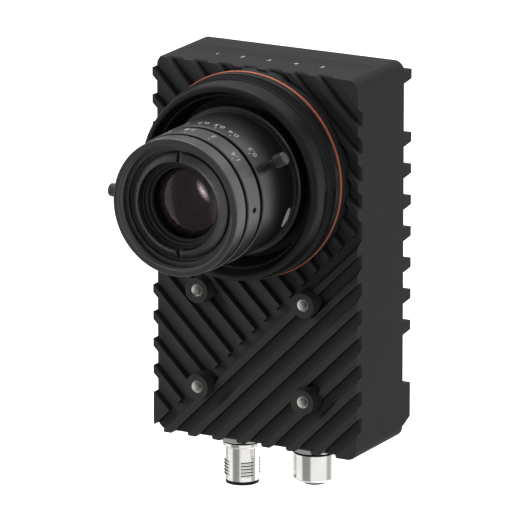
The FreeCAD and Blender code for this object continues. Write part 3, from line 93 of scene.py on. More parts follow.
def coat_grain_group():
    """Fine orange-peel grain and broad soft patches of a powder coat."""
    group, source, result = start_group("Coat Grain", {"Grain Scale": 1400.0, "Patch Scale": 45.0},
                                        ["Grain", "Patches"])
    place = group.nodes.new("ShaderNodeTexCoord")
    for socket, scale, detail in (("Grain", "Grain Scale", 3.0), ("Patches", "Patch Scale", 2.0)):
        noise = group.nodes.new("ShaderNodeTexNoise")
        noise.inputs["Detail"].default_value = detail
        noise.inputs["Roughness"].default_value = 0.6
        group.links.new(place.outputs["Object"], noise.inputs["Vector"])
        group.links.new(source.outputs[scale], noise.inputs["Scale"])
        group.links.new(noise.outputs["Fac"], result.inputs[socket])
    return group


def edge_wear_group():
    """A mask that is bright along outer edges. It marks rubbed wear on the turned metals, and a painted
    highlight on the powder coat and the focus bead.
    """
    group, source, result = start_group("Edge Wear And Highlight", {"Width": 0.0003, "Strength": 4.0}, ["Edge"])
    bevel = group.nodes.new("ShaderNodeBevel")
    bevel.samples = 4
    group.links.new(source.outputs["Width"], bevel.inputs["Radius"])
    geometry = group.nodes.new("ShaderNodeNewGeometry")
    dot = group.nodes.new("ShaderNodeVectorMath")
    dot.operation = "DOT_PRODUCT"
    group.links.new(bevel.outputs["Normal"], dot.inputs[0])
    group.links.new(geometry.outputs["Normal"], dot.inputs[1])
    away = group.nodes.new("ShaderNodeMath")
    away.operation = "SUBTRACT"
    away.inputs[0].default_value = 1.0
    group.links.new(dot.outputs["Value"], away.inputs[1])
    gain = group.nodes.new("ShaderNodeMath")
    gain.operation = "MULTIPLY"
    gain.use_clamp = True
    group.links.new(away.outputs[0], gain.inputs[0])
    group.links.new(source.outputs["Strength"], gain.inputs[1])
    group.links.new(gain.outputs[0], result.inputs["Edge"])
    return group


def crevice_group():
    """A mask that falls from 1 on open faces to 0 in the inner corners within a short reach; it paints shade
    into those corners.
    """
    group, source, result = start_group("Corner Shade", {"Reach": 0.001}, ["Open"])
    corner = group.nodes.new("ShaderNodeAmbientOcclusion")
    corner.samples = 8
    corner.only_local = True
    group.links.new(source.outputs["Reach"], corner.inputs["Distance"])
    clear = group.nodes.new("ShaderNodeMapRange")
    clear.inputs["From Min"].default_value = 0.45
    clear.inputs["From Max"].default_value = 0.85
    group.links.new(corner.outputs["AO"], clear.inputs["Value"])
    group.links.new(clear.outputs["Result"], result.inputs["Open"])
    return group


def blend_colours(tree, mask, low, high):
    """Colour mixed from two by a mask."""
    mix = tree.nodes.new("ShaderNodeMix")
    mix.data_type = "RGBA"
    tree.links.new(mask, mix.inputs["Factor"])
    for socket, colour in ((6, low), (7, high)):
        if hasattr(colour, "links"):
            tree.links.new(colour, mix.inputs[socket])
        else:
            mix.inputs[socket].default_value = (*colour, 1)
    return mix.outputs[2]


def spread(tree, value, low, high):
    """A 0 to 1 value stretched to a range."""
    node = tree.nodes.new("ShaderNodeMapRange")
    node.inputs["To Min"].default_value = low
    node.inputs["To Max"].default_value = high
    tree.links.new(value, node.inputs["Value"])
    return node.outputs["Result"]


def bump(tree, shader, height, strength, distance):
    """Surface relief from a height."""
    node = tree.nodes.new("ShaderNodeBump")
    node.inputs["Strength"].default_value = strength
    node.inputs["Distance"].default_value = distance
    tree.links.new(height, node.inputs["Height"])
    tree.links.new(node.outputs["Normal"], shader.inputs["Normal"])


coat_grain = coat_grain_group()
edge_wear_and_highlight = edge_wear_group()
corner_shade = crevice_group()


def coat_material(name, dark, light, edge, roughness, gloss):
    """Matt powder coat: two close tones and fine grain, with a painted highlight on the edges and painted
    shade in the inner corners.
    """
    material, tree, shader = fresh_material(name, dark, roughness, gloss=gloss)
    grain = add_group(tree, coat_grain)
    wear_and_highlight = add_group(tree, edge_wear_and_highlight, Width=0.0004, Strength=1.6)
    corner = add_group(tree, corner_shade, Reach=0.0010)
    body = blend_colours(tree, grain.outputs["Patches"], dark, light)
    highlit_body = blend_colours(tree, wear_and_highlight.outputs["Edge"], body, edge)
    # Inner corners are darkened to a painted shade; the pale edge colour is a painted highlight.
    shade = [0.15 * part for part in dark]
    tree.links.new(blend_colours(tree, corner.outputs["Open"], shade, highlit_body), shader.inputs["Base Color"])
    tree.links.new(spread(tree, grain.outputs["Grain"], roughness - 0.06, roughness + 0.08),
                   shader.inputs["Roughness"])
    bump(tree, shader, grain.outputs["Grain"], 0.35, 0.00006)
    return material


def finish_node(node, material):
    """A CAD node keeps its shape and takes a material."""
    piece = frame["nodes"][node]
    piece.data.materials.clear()
    piece.data.materials.append(material)
    return piece


def choose(piece):
    """Makes one piece the only selected and active one."""
    bpy.ops.object.select_all(action="DESELECT")
    bpy.context.view_layer.objects.active = piece
    piece.select_set(True)


def soften(piece, width, angle=30, sharp=None):
    """Rounds the sharp edges of a piece by a width in mm and shades its curved faces smoothly."""
    choose(piece)
    if width:
        edges = piece.modifiers.new("soft edges", "BEVEL")
        edges.width = width * MM
        edges.segments = 2
        edges.limit_method = "ANGLE"
        edges.angle_limit = math.radians(sharp or angle)
        bpy.ops.object.modifier_apply(modifier="soft edges")
    bpy.ops.object.shade_smooth_by_angle(angle=math.radians(angle))


def dress(piece, material, body, slot, *nodes):
    """Gives a new piece its material, its body and the CAD nodes that it stands for. The slot is not used."""
    piece.data.materials.clear()
    piece.data.materials.append(material)
    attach(piece, body)
    if nodes:
        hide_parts(*nodes)
    return piece


def refined_copy(node, name, material, soft, body="camera", even=False):
    """A merged copy of a CAD node with softened edges and smooth curves, shown in its place."""
    piece = bpy.data.objects.new(name, frame["nodes"][node].data.copy())
    bpy.context.scene.collection.objects.link(piece)
    choose(piece)
    bpy.ops.object.mode_set(mode="EDIT")
    bpy.ops.mesh.select_all(action="SELECT")
    bpy.ops.mesh.remove_doubles(threshold=0.000004)
    bpy.ops.mesh.dissolve_limited(angle_limit=math.radians(0.4))
    bpy.ops.object.mode_set(mode="OBJECT")
    soften(piece, soft, sharp=40)
    if even:
        weighted = piece.modifiers.new("even normals", "WEIGHTED_NORMAL")
        weighted.keep_sharp = True
        weighted.weight = 80
        bpy.ops.object.modifier_apply(modifier="even normals")
    return dress(piece, material, body, SLOTS[node], node)


SLOTS = {part["node"]: part["material_slot"] for part in frame["record"]["subparts"]}
# The third colour is the painted highlight on the housing's edges.
housing_coat = coat_material("housing coat", (0.0270, 0.0272, 0.0275), (0.0315, 0.0317, 0.0320),
                             (0.075, 0.075, 0.075), 0.60, 0.08)
refined_copy("front_housing", "ribbed_housing", housing_coat, 0.12, even=True)


# ---- Mounting inserts ------------------------------------------------------------------------
# Four turned steel bushes with an M4 thread, moulded flush into the bosses. The coat covers
# their outer face, and the cut thread inside stays bright.

def turned_lines_group():
    """Fine lines that a lathe tool leaves round the local Z axis, and slow streaks across them."""
    group, source, result = start_group("Turned Lines", {"Vector": None, "Line Scale": 4000.0},
                                        ["Lines", "Streaks"])
    split = group.nodes.new("ShaderNodeSeparateXYZ")
    group.links.new(source.outputs["Vector"], split.inputs[0])
    flat = group.nodes.new("ShaderNodeCombineXYZ")
    group.links.new(split.outputs["X"], flat.inputs["X"])
    group.links.new(split.outputs["Y"], flat.inputs["Y"])
    reach = group.nodes.new("ShaderNodeVectorMath")
    reach.operation = "LENGTH"
    group.links.new(flat.outputs[0], reach.inputs[0])
    ring = group.nodes.new("ShaderNodeCombineXYZ")
    group.links.new(reach.outputs["Value"], ring.inputs["X"])
    group.links.new(split.outputs["Z"], ring.inputs["Y"])
    lines = group.nodes.new("ShaderNodeTexNoise")
    lines.inputs["Detail"].default_value = 1.0
    group.links.new(ring.outputs[0], lines.inputs["Vector"])
    group.links.new(source.outputs["Line Scale"], lines.inputs["Scale"])
    group.links.new(lines.outputs["Fac"], result.inputs["Lines"])
    streaks = group.nodes.new("ShaderNodeTexNoise")
    streaks.inputs["Scale"].default_value = 120.0
    group.links.new(source.outputs["Vector"], streaks.inputs["Vector"])
    group.links.new(streaks.outputs["Fac"], result.inputs["Streaks"])
    return group


turned_lines = turned_lines_group()
FORWARD = Vector((0, -1, 0))


def turned_metal(name, colour, roughness, centre, axis, metallic=1.0, gloss=0.5, relief=0.25,
                 rubbed_and_lit=None, line_scale=4000.0):
    """Lathe-turned metal round an axis: fine tool lines, soft streaks and lighter edges. The edges show
    rubbed wear; on the focus bead their pale colour is a painted highlight.
    """
    material, tree, shader = fresh_material(name, colour, roughness, metallic, gloss)
    place = tree.nodes.new("ShaderNodeTexCoord")
    local = tree.nodes.new("ShaderNodeMapping")
    local.vector_type = "TEXTURE"
    local.inputs["Location"].default_value = centre
    local.inputs["Rotation"].default_value = axis.to_track_quat("Z", "Y").to_euler()
    tree.links.new(place.outputs["Object"], local.inputs["Vector"])
    lines = add_group(tree, turned_lines, Line_Scale=line_scale)
    tree.links.new(local.outputs["Vector"], lines.inputs["Vector"])
    wear_and_highlight = add_group(tree, edge_wear_and_highlight, Width=0.00025, Strength=1.5)
    tone = blend_colours(tree, lines.outputs["Streaks"], colour, [1.25 * part for part in colour])
    edge = rubbed_and_lit or [min(1.0, 1.6 * part) for part in colour]
    tree.links.new(blend_colours(tree, wear_and_highlight.outputs["Edge"], tone, edge), shader.inputs["Base Color"])
    tree.links.new(spread(tree, lines.outputs["Lines"], roughness - 0.05, roughness + 0.07),
                   shader.inputs["Roughness"])
    bump(tree, shader, lines.outputs["Lines"], relief, 0.00003)
    return material


def turned_piece(name, profile, centre, axis, sides=96, soft=0.05, closed=True):
    """A turned part: a circle extruded and scaled from point to point of (along, radius), in mm."""
    bpy.ops.object.select_all(action="DESELECT")
    along, radius = profile[0]
    bpy.ops.mesh.primitive_circle_add(vertices=sides, radius=radius * MM,
                                      location=centre + axis * along * MM,
                                      rotation=axis.to_track_quat("Z", "Y").to_euler())
    piece = bpy.context.object
    piece.name = name
    bpy.ops.object.transform_apply()
    bpy.ops.object.mode_set(mode="EDIT")
    bpy.ops.mesh.select_all(action="SELECT")
    for next_along, next_radius in profile[1:] + profile[:1] * closed:
        bpy.ops.mesh.extrude_region_move(
            TRANSFORM_OT_translate={"value": axis * (next_along - along) * MM})
        bpy.ops.transform.resize(value=(next_radius / radius,) * 3,
                                 center_override=centre + axis * next_along * MM)
        along, radius = next_along, next_radius
    bpy.ops.mesh.select_all(action="SELECT")
    bpy.ops.mesh.remove_doubles(threshold=0.000001)
    bpy.ops.mesh.fill_holes(sides=0)
    bpy.ops.mesh.normals_make_consistent(inside=False)
    bpy.ops.object.mode_set(mode="OBJECT")
    soften(piece, soft)
    return piece


INSERT_LENGTH, INSERT_RADIUS, INSERT_MOUTH = 7.6, 2.3, 0.35
THREAD_CREST, THREAD_ROOT, M4_PITCH = 1.65, 1.95, 0.7
insert_low, insert_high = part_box("boss_inserts")
insert_x = insert_high.x - INSERT_RADIUS * MM
insert_z = insert_high.z - INSERT_RADIUS * MM
insert_profile = [(-INSERT_LENGTH, THREAD_ROOT), (-INSERT_LENGTH, INSERT_RADIUS), (0, INSERT_RADIUS),
                  (0, INSERT_RADIUS - 0.12), (-INSERT_MOUTH, THREAD_ROOT)]
depth = -INSERT_MOUTH
while depth > -INSERT_LENGTH + 1.5 * M4_PITCH:
    insert_profile += [(depth - M4_PITCH / 2, THREAD_CREST), (depth - M4_PITCH, THREAD_ROOT)]
    depth -= M4_PITCH
insert_steel = turned_metal("insert steel", (0.74, 0.73, 0.70), 0.48, Vector((insert_x, 0, insert_z)),
                            FORWARD)
first_insert = turned_piece("thread_insert_1", insert_profile, Vector((insert_x, insert_low.y, insert_z)),
                            FORWARD, sides=48, soft=0)
dress(first_insert, insert_steel, "camera", "insert_steel", "boss_inserts")
first_insert.data.materials.append(housing_coat)
for face in first_insert.data.polygons:
    reach = math.hypot(face.center.x - insert_x, face.center.z - insert_z)
    if reach > (THREAD_ROOT + 0.02) * MM and face.center.y < insert_low.y + 0.4 * MM:
        face.material_index = 1
for number, (x, z) in enumerate([(-insert_x, insert_z), (insert_x, -insert_z), (-insert_x, -insert_z)], 2):
    choose(first_insert)
    bpy.ops.object.duplicate()
    copy = bpy.context.object
    copy.name = f"thread_insert_{number}"
    copy.location = (x - insert_x, 0, z - insert_z)
    bpy.ops.object.transform_apply()


# ---- Boards and sensor -----------------------------------------------------------------------
# Green glass-fibre boards on brass standoffs, held by steel screws, with a moulded processor,
# a soft thermal pad and ivory board-to-board plugs. The sensor is a sealed package.

def board_material():
    """Solder mask with faint copper runs under it and small tinned pads."""
    material, tree, shader = fresh_material("board green", (0.012, 0.085, 0.035), 0.35)
    place = tree.nodes.new("ShaderNodeTexCoord")
    runs = tree.nodes.new("ShaderNodeTexBrick")
    runs.inputs["Scale"].default_value = 260.0
    runs.inputs["Mortar Size"].default_value = 0.03
    runs.inputs["Color1"].default_value = (0.010, 0.080, 0.032, 1)
    runs.inputs["Color2"].default_value = (0.014, 0.095, 0.040, 1)
    runs.inputs["Mortar"].default_value = (0.030, 0.150, 0.060, 1)
    tree.links.new(place.outputs["Object"], runs.inputs["Vector"])
    dots = tree.nodes.new("ShaderNodeTexVoronoi")
    dots.inputs["Scale"].default_value = 420.0
    dots.inputs["Randomness"].default_value = 0.35
    tree.links.new(place.outputs["Object"], dots.inputs["Vector"])
    pads = tree.nodes.new("ShaderNodeMath")
    pads.operation = "LESS_THAN"
    pads.inputs[1].default_value = 0.12
    tree.links.new(dots.outputs["Distance"], pads.inputs[0])
    tree.links.new(blend_colours(tree, pads.outputs[0], runs.outputs["Color"], (0.65, 0.64, 0.60)),
                   shader.inputs["Base Color"])
    tree.links.new(spread(tree, pads.outputs[0], 0.35, 0.22), shader.inputs["Roughness"])
    tree.links.new(pads.outputs[0], shader.inputs["Metallic"])
    bump(tree, shader, runs.outputs["Fac"], 0.3, 0.00003)
    return material


def moulded_material(name, colour, roughness, relief=0.2, gloss=0.5):
    """Moulded plastic or rubber: an even tone with fine spark-eroded grain."""
    material, tree, shader = fresh_material(name, colour, roughness, gloss=gloss)
    grain = add_group(tree, coat_grain, Grain_Scale=2600.0, Patch_Scale=90.0)
    tree.links.new(blend_colours(tree, grain.outputs["Patches"], [0.88 * part for part in colour],
                                 [min(1.0, 1.12 * part) for part in colour]), shader.inputs["Base Color"])
    tree.links.new(spread(tree, grain.outputs["Grain"], roughness - 0.07, roughness + 0.09),
                   shader.inputs["Roughness"])
    bump(tree, shader, grain.outputs["Grain"], relief, 0.00004)
    return material


board_green = board_material()
standoff_brass = turned_metal("standoff brass", (0.70, 0.52, 0.22), 0.28, Vector(), FORWARD)
screw_steel = turned_metal("screw steel", (0.60, 0.59, 0.57), 0.30, Vector(), FORWARD)
plug_ivory = moulded_material("plug ivory", (0.62, 0.58, 0.48), 0.45)
chip_black = moulded_material("chip black", (0.018, 0.018, 0.019), 0.50)
for node in ("sensor_board", "main_board", "io_board", "lamp_board"):
    finish_node(node, board_green)
for node in ("sensor_standoffs", "main_standoffs"):
    finish_node(node, standoff_brass)
for node in ("board_screws", "lamp_board_screws", "mount_screws"):
    finish_node(node, screw_steel)
for node in ("board_link", "io_header", "lamp_link"):
    finish_node(node, plug_ivory)
finish_node("processor", chip_black)
finish_node("thermal_pad", moulded_material("thermal pad grey", (0.30, 0.32, 0.35), 0.75, 0.5))


def sensor_material():
    """Dark package with a greenish picture area that shows its fine cells."""
    material, tree, shader = fresh_material("sensor package", (0.02, 0.025, 0.03), 0.12)
    place = tree.nodes.new("ShaderNodeTexCoord")
    cells = tree.nodes.new("ShaderNodeTexBrick")
    cells.inputs["Scale"].default_value = 60000.0
    cells.offset = 0.0
    cells.inputs["Color1"].default_value = (0.006, 0.016, 0.015, 1)
    cells.inputs["Color2"].default_value = (0.008, 0.012, 0.016, 1)
    cells.inputs["Mortar"].default_value = (0.012, 0.012, 0.012, 1)
    turn = tree.nodes.new("ShaderNodeMapping")
    turn.inputs["Rotation"].default_value = (math.pi / 2, 0, 0)
    tree.links.new(place.outputs["Object"], turn.inputs["Vector"])
    tree.links.new(turn.outputs["Vector"], cells.inputs["Vector"])
    tree.links.new(cells.outputs["Color"], shader.inputs["Base Color"])
    tree.links.new(spread(tree, cells.outputs["Fac"], 0.10, 0.25), shader.inputs["Roughness"])
    return material


finish_node("image_sensor", sensor_material())


# ---- Status lamps and their window -----------------------------------------------------------
# Five white diodes shine up through one smoked plastic strip that is glued into the top wall.
# Plain numerals printed in front of it number the lamps.

lamp_white = moulded_material("lamp white", (0.80, 0.80, 0.74), 0.25)
finish_node("status_lamps", lamp_white)
window_smoked = moulded_material("smoked window", (0.0150, 0.0155, 0.0160), 0.40, 0.08, 0.04)
refined_copy("lamp_window", "smoked_strip", window_smoked, 0.10, even=True)


def print_material(name, colour):
    """Screen-printed paint: slightly uneven where it lies thin on the coat."""
    material, tree, shader = fresh_material(name, colour, 0.55)
    grain = add_group(tree, coat_grain, Grain_Scale=5200.0, Patch_Scale=900.0)
    tree.links.new(blend_colours(tree, grain.outputs["Patches"], [0.6 * part for part in colour], colour),
                   shader.inputs["Base Color"])
    bump(tree, shader, grain.outputs["Grain"], 0.3, 0.00001)
    return material


PRINT_RISE = 0.008


def printed_word(name, words, size):
    """Flat raised print in the XY plane round its own middle, as a mesh."""
    bpy.ops.object.select_all(action="DESELECT")
    bpy.ops.object.text_add()
    piece = bpy.context.object
    piece.name = name
    piece.data.body = words
    piece.data.size = size * MM
    piece.data.align_x = "CENTER"
    piece.data.align_y = "CENTER"
    piece.data.resolution_u = 3
    piece.data.extrude = PRINT_RISE * MM
    bpy.ops.object.convert(target="MESH")
    choose(piece)
    bpy.ops.object.mode_set(mode="EDIT")
    bpy.ops.mesh.select_all(action="SELECT")
    bpy.ops.mesh.remove_doubles(threshold=0.0000005)
    bpy.ops.object.mode_set(mode="OBJECT")
    return piece


LAMP_LABELS, LABEL_ROW = (-20.2, -10.9, -1.2, 8.6, 18.3), 15.9
label_white = print_material("label white", (0.88, 0.88, 0.86))
housing_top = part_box("front_housing")[1].z
for number, x in enumerate(LAMP_LABELS, 1):
    label = printed_word(f"lamp_label_{number}", str(number), 2.8)
    label.location = (x * MM, LABEL_ROW * MM, housing_top + PRINT_RISE * MM)
    bpy.ops.object.transform_apply()
    dress(label, label_white, "camera", "window_smoked")


# ---- Round ports -----------------------------------------------------------------------------
# Two nickel-plated brass ports are screwed into the bottom wall against rubber rings. One is a
# plug barrel with an interrupted thread, the other a threaded socket; both have gold contacts.

UP = Vector((0, 0, 1))
NECK_TOP, NECK_END = 3.62, 4.15
THREAD_TOP, THREAD_END, THREAD_CORE = 10.1, 15.6, 5.6


def plated_material(name, centre):
    """Bright nickel plate with faint tool lines, slightly duller where it was handled."""
    return turned_metal(name, (0.86, 0.85, 0.82), 0.15, centre, UP, relief=0.10, rubbed_and_lit=(0.93, 0.92, 0.90))


HOUSING_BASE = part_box("front_housing")[0].z
groove_painted_shade = moulded_material("groove painted shade", (0.010, 0.010, 0.010), 0.60)
port_plastic = moulded_material("port plastic", (0.012, 0.012, 0.013), 0.45, gloss=0.15)
port_rubber = moulded_material("port rubber", (0.015, 0.015, 0.015), 0.65)
for side in ("power", "network"):
    low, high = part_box(f"{side}_shell")
    centre = (low + high) / 2
    plate = plated_material(f"{side} nickel", centre)
    shell = refined_copy(f"{side}_shell", f"{side}_port_shell", plate, 0.05, even=True)
    # The neck groove, and on the power port the cut thread flanks, take a near-black material as painted
    # shade.
    shell.data.materials.append(groove_painted_shade)
    for face in shell.data.polygons:
        reach = math.hypot(face.center.x - centre.x, face.center.y - centre.y) / MM
        depth = (HOUSING_BASE - face.center.z) / MM
        neck = NECK_TOP < depth < NECK_END
        cut = THREAD_TOP < depth < THREAD_END and reach > THREAD_CORE and abs(face.normal.z) > 0.25
        if neck or (side == "power" and cut):
            face.material_index = 1
    refined_copy(f"{side}_insert", f"{side}_contact_carrier", port_plastic, 0.06)
    finish_node(f"{side}_nut", plate)
    finish_node(f"{side}_seal", port_rubber)
contact_gold = turned_metal("contact gold", (0.78, 0.58, 0.22), 0.22, Vector(), UP)
finish_node("power_pins", contact_gold)
finish_node("network_contacts", contact_gold)


def thread_ridge(name, root, crest, pitch, turns, start, centre, axis, steps=72):
    """One helical ridge: a three-cornered profile turned and carried along its axis."""
    bpy.ops.object.select_all(action="DESELECT")
    bpy.ops.mesh.primitive_circle_add(vertices=3, radius=1.0, fill_type="NGON")
    piece = bpy.context.object
    piece.name = name
    corners = ((root, -pitch * 0.36), (crest, 0.0), (root, pitch * 0.36))
    bpy.ops.object.mode_set(mode="EDIT")
    bpy.ops.mesh.select_all(action="SELECT")
    bpy.ops.mesh.delete(type="ONLY_FACE")
    bpy.ops.object.mode_set(mode="OBJECT")
    for corner, (radius, along) in zip(piece.data.vertices, corners):
        corner.co = (radius * MM, 0, (start + along) * MM)
    helix = piece.modifiers.new("helix", "SCREW")
    helix.axis = "Z"
    helix.angle = 2 * math.pi
    helix.screw_offset = pitch * MM
    helix.iterations = turns
    helix.steps = steps
    helix.render_steps = steps
    helix.use_merge_vertices = False
    bpy.ops.object.modifier_apply(modifier="helix")
    bpy.ops.object.mode_set(mode="EDIT")
    bpy.ops.mesh.select_all(action="SELECT")
    bpy.ops.mesh.remove_doubles(threshold=0.0000005)
    bpy.ops.mesh.fill_holes(sides=4)
    bpy.ops.mesh.normals_make_consistent(inside=False)
    bpy.ops.object.mode_set(mode="OBJECT")
    piece.rotation_euler = axis.to_track_quat("Z", "Y").to_euler()
    piece.location = centre
    bpy.ops.object.transform_apply()
    soften(piece, 0)
    return piece


socket_low, socket_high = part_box("network_shell")
socket_centre = Vector(((socket_low.x + socket_high.x) / 2, (socket_low.y + socket_high.y) / 2,
                        socket_low.z))
ridge = thread_ridge("network_socket_thread", 5.5, 5.2, 1.0, 6, 0.6, socket_centre, UP)
dress(ridge, plate, "camera", "port_nickel")


# ---- Rear cover ------------------------------------------------------------------------------
# A finned die casting with the same coat closes the back. It sits on a rubber cord and is held
# by four socket screws in the rows that have no fin.

refined_copy("rear_cover", "finned_cover", housing_coat, 0.15, even=True)
finish_node("cover_gasket", port_rubber)
refined_copy("cover_screws", "cover_socket_screws", screw_steel, 0.10)


# ---- Lens mount ------------------------------------------------------------------------------
# A turned steel ring with the lens thread is screwed to the hub. It traps the thin square-cut
# filter glass in front of the sensor.

LENS_AXIS = Vector((0, 0, sum(corner.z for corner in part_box("lens_tube")) / 2))
mount_steel = turned_metal("mount steel", (0.40, 0.40, 0.41), 0.32, LENS_AXIS, FORWARD)
finish_node("lens_mount", mount_steel)


def axis_distance(tree):
    """Each point's distance from the lens axis."""
    place = tree.nodes.new("ShaderNodeTexCoord")
    flat = tree.nodes.new("ShaderNodeMapping")
    flat.inputs["Location"].default_value = -LENS_AXIS
    flat.inputs["Scale"].default_value = (1, 0, 1)
    tree.links.new(place.outputs["Object"], flat.inputs["Vector"])
    distance = tree.nodes.new("ShaderNodeVectorMath")
    distance.operation = "LENGTH"
    tree.links.new(flat.outputs["Vector"], distance.inputs[0])
    return distance.outputs["Value"]


def optical_glass(name, tint, rim_tint, reach, gloss=0.05, coating=(1.0, 0.84, 0.88)):
    """Coated glass: the coating tints its reflection, and a film of dust dulls it very slightly."""
    material, tree, shader = fresh_material(name, tint, 0.0, gloss=gloss)
    shader.inputs["Transmission Weight"].default_value = 1.0
    shader.inputs["IOR"].default_value = 1.52
    shader.inputs["Specular Tint"].default_value = (*coating, 1)
    edge = tree.nodes.new("ShaderNodeMapRange")
    edge.inputs["From Max"].default_value = reach * MM
    tree.links.new(axis_distance(tree), edge.inputs["Value"])
    tree.links.new(blend_colours(tree, edge.outputs["Result"], tint, rim_tint), shader.inputs["Base Color"])
    grain = add_group(tree, coat_grain, Grain_Scale=3000.0, Patch_Scale=160.0)
    tree.links.new(spread(tree, grain.outputs["Patches"], 0.0, 0.02), shader.inputs["Roughness"])
    return material


finish_node("infrared_filter", optical_glass("filter glass", (0.70, 0.90, 0.86), (0.62, 0.85, 0.82), 11.5))


# ---- Lens barrel and focus ring --------------------------------------------------------------
# The fixed barrel screws into the mount. The focus ring turns on it, has a finely serrated rear
# bead and engraved distance figures filled with white, and carries a small oval sticker.

lens_black = turned_metal("lens black", (0.0115, 0.0115, 0.0117), 0.33, LENS_AXIS, FORWARD, 0.0,
                          0.9, relief=0.35, rubbed_and_lit=(0.030, 0.030, 0.030), line_scale=6000.0)
leaf_black = turned_metal("leaf black", (0.010, 0.010, 0.010), 0.5, LENS_AXIS, FORWARD, 0.0, 0.25)
refined_copy("lens_barrel", "fixed_barrel", lens_black, 0.10, even=True)
refined_copy("focus_ring", "focus_scale_ring", lens_black, 0.10, body="focus_ring", even=True)
finish_node("focus_retainer", leaf_black)

RIB_FLOOR = 6.25
LENS_FLOOR = LENS_AXIS + Vector((0, RIB_FLOOR * MM, 0))
FOCUS_RADIUS, FOCUS_REAR, BEAD_WIDTH = 23.0, 17.3, 0.8


def serrated_ring(name, radius, height, start, width, count, centre, axis):
    """A thin ring whose outer face is cut into fine teeth: every second pair of corners is sunk."""
    piece = turned_piece(name, [(start, radius - 0.4), (start, radius), (start + width, radius),
                                (start + width, radius - 0.4)], centre, axis, sides=count * 4, soft=0)
    turn = axis.to_track_quat("Z", "Y").inverted()
    for corner in piece.data.vertices:
        place = turn @ (corner.co - centre)
        reach = math.hypot(place.x, place.y)
        step = round(math.atan2(place.y, place.x) / (2 * math.pi) * count * 4) % 4
        corner.select = reach > (radius - 0.1) * MM and step in (0, 1)
        if corner.select:
            place.xy *= (radius - height) * MM / reach
            corner.co = centre + turn.inverted() @ place
    soften(piece, 0, 20)
    return piece


# The bead's pale edge colour is a painted highlight, so that its teeth catch light.
bead_highlit_black = turned_metal("bead highlit black", (0.010, 0.010, 0.010), 0.35, LENS_AXIS, FORWARD, 0.0,
                          0.4, rubbed_and_lit=(0.36, 0.36, 0.36))
bead = serrated_ring("focus_ring_serration", FOCUS_RADIUS + 0.28, 0.12, FOCUS_REAR + 0.15, BEAD_WIDTH - 0.5,
                     200, LENS_FLOOR, FORWARD)
dress(bead, bead_highlit_black, "focus_ring", "lens_black")


def wrap(piece, radius, angle, forward, lift=0.012):
    """Bends a flat print round the lens axis: X becomes the angle and Y runs forward."""
    for corner in piece.data.vertices:
        turn = math.radians(angle) + corner.co.x / (radius * MM)
        reach = (radius + lift) * MM + corner.co.z
        corner.co = LENS_FLOOR + Vector((reach * math.cos(turn), 0, reach * math.sin(turn))) \
            + FORWARD * (forward * MM + corner.co.y)


def printed_tick(name, width, length):
    """A short engraved line, drawn as a thin strip round its own middle."""
    bpy.ops.object.select_all(action="DESELECT")
    bpy.ops.mesh.primitive_plane_add(size=1.0)
    piece = bpy.context.object
    piece.name = name
    piece.scale = (width * MM, length * MM, 1)
    bpy.ops.object.transform_apply()
    bpy.ops.object.mode_set(mode="EDIT")
    bpy.ops.mesh.select_all(action="SELECT")
    bpy.ops.mesh.extrude_region_move(TRANSFORM_OT_translate={"value": (0, 0, 0.012 * MM)})
    bpy.ops.mesh.select_all(action="SELECT")
    bpy.ops.mesh.normals_make_consistent(inside=False)
    bpy.ops.object.mode_set(mode="OBJECT")
    return piece


def scale_marks(prefix, marks, radius, figure_forward, tick_forward, body, size, tick_length):
    """Engraved figures round a ring, each with its short line in front."""
    for words, angle, shift in marks:
        tag = words.replace(".", "_")
        figure = printed_word(f"{prefix}_figure_{tag}", words, size)
        wrap(figure, radius, angle, figure_forward + shift)
        dress(figure, mark_white, body, "lens_black")
        tick = printed_tick(f"{prefix}_line_{tag}", 0.22, tick_length)
        wrap(tick, radius, angle, tick_forward)
        dress(tick, mark_white, body, "lens_black")


mark_white = print_material("mark white", (0.62, 0.62, 0.60))
scale_marks("focus", [("0.3", 43, 0.6), ("0.4", 64.5, 0.4), ("0.5", 78.5, 0), ("0.7", 92.5, 0), ("1", 107, 0),
                      ("2", 124, 0), ("5", 139, 0), ("10", 153, 0)], FOCUS_RADIUS, 34.0, 36.9, "focus_ring",
            3.1, 1.1)

STICKER_LENGTH, STICKER_WIDTH, STICKER_ANGLE, STICKER_FORWARD = 7.0, 2.9, -21.7, 20.6
sticker_grey = print_material("sticker grey", (0.85, 0.85, 0.82))
bpy.ops.object.select_all(action="DESELECT")
bpy.ops.mesh.primitive_circle_add(vertices=64, radius=1.0, fill_type="NGON")
sticker = bpy.context.object
sticker.name = "oval_sticker"
sticker.scale = (STICKER_LENGTH / 2 * MM, STICKER_WIDTH / 2 * MM, 1)
bpy.ops.object.transform_apply()
bpy.ops.object.mode_set(mode="EDIT")
bpy.ops.mesh.select_all(action="SELECT")
bpy.ops.mesh.inset(thickness=0.12 * MM)
bpy.ops.mesh.poke()
bpy.ops.mesh.select_all(action="SELECT")
bpy.ops.mesh.bisect(plane_co=(0, 0, 0), plane_no=(1, 0, 0))
for offset in (-2.6, -1.3, 1.3, 2.6):
    bpy.ops.mesh.select_all(action="SELECT")
    bpy.ops.mesh.bisect(plane_co=(offset * MM, 0, 0), plane_no=(1, 0, 0))
bpy.ops.mesh.select_all(action="SELECT")
bpy.ops.mesh.extrude_region_move(TRANSFORM_OT_translate={"value": (0, 0, 0.03 * MM)})
bpy.ops.mesh.select_all(action="SELECT")
bpy.ops.mesh.normals_make_consistent(inside=False)
bpy.ops.object.mode_set(mode="OBJECT")
wrap(sticker, FOCUS_RADIUS, STICKER_ANGLE, STICKER_FORWARD, 0.005)
soften(sticker, 0, 40)
dress(sticker, sticker_grey, "focus_ring", "lens_black")


# ---- Lens cell and glass ---------------------------------------------------------------------
# The front part slides as the focus ring turns. It holds four coated elements, the iris leaves
# and a stepped baffle; a ring with two spanner slots clamps the front element.

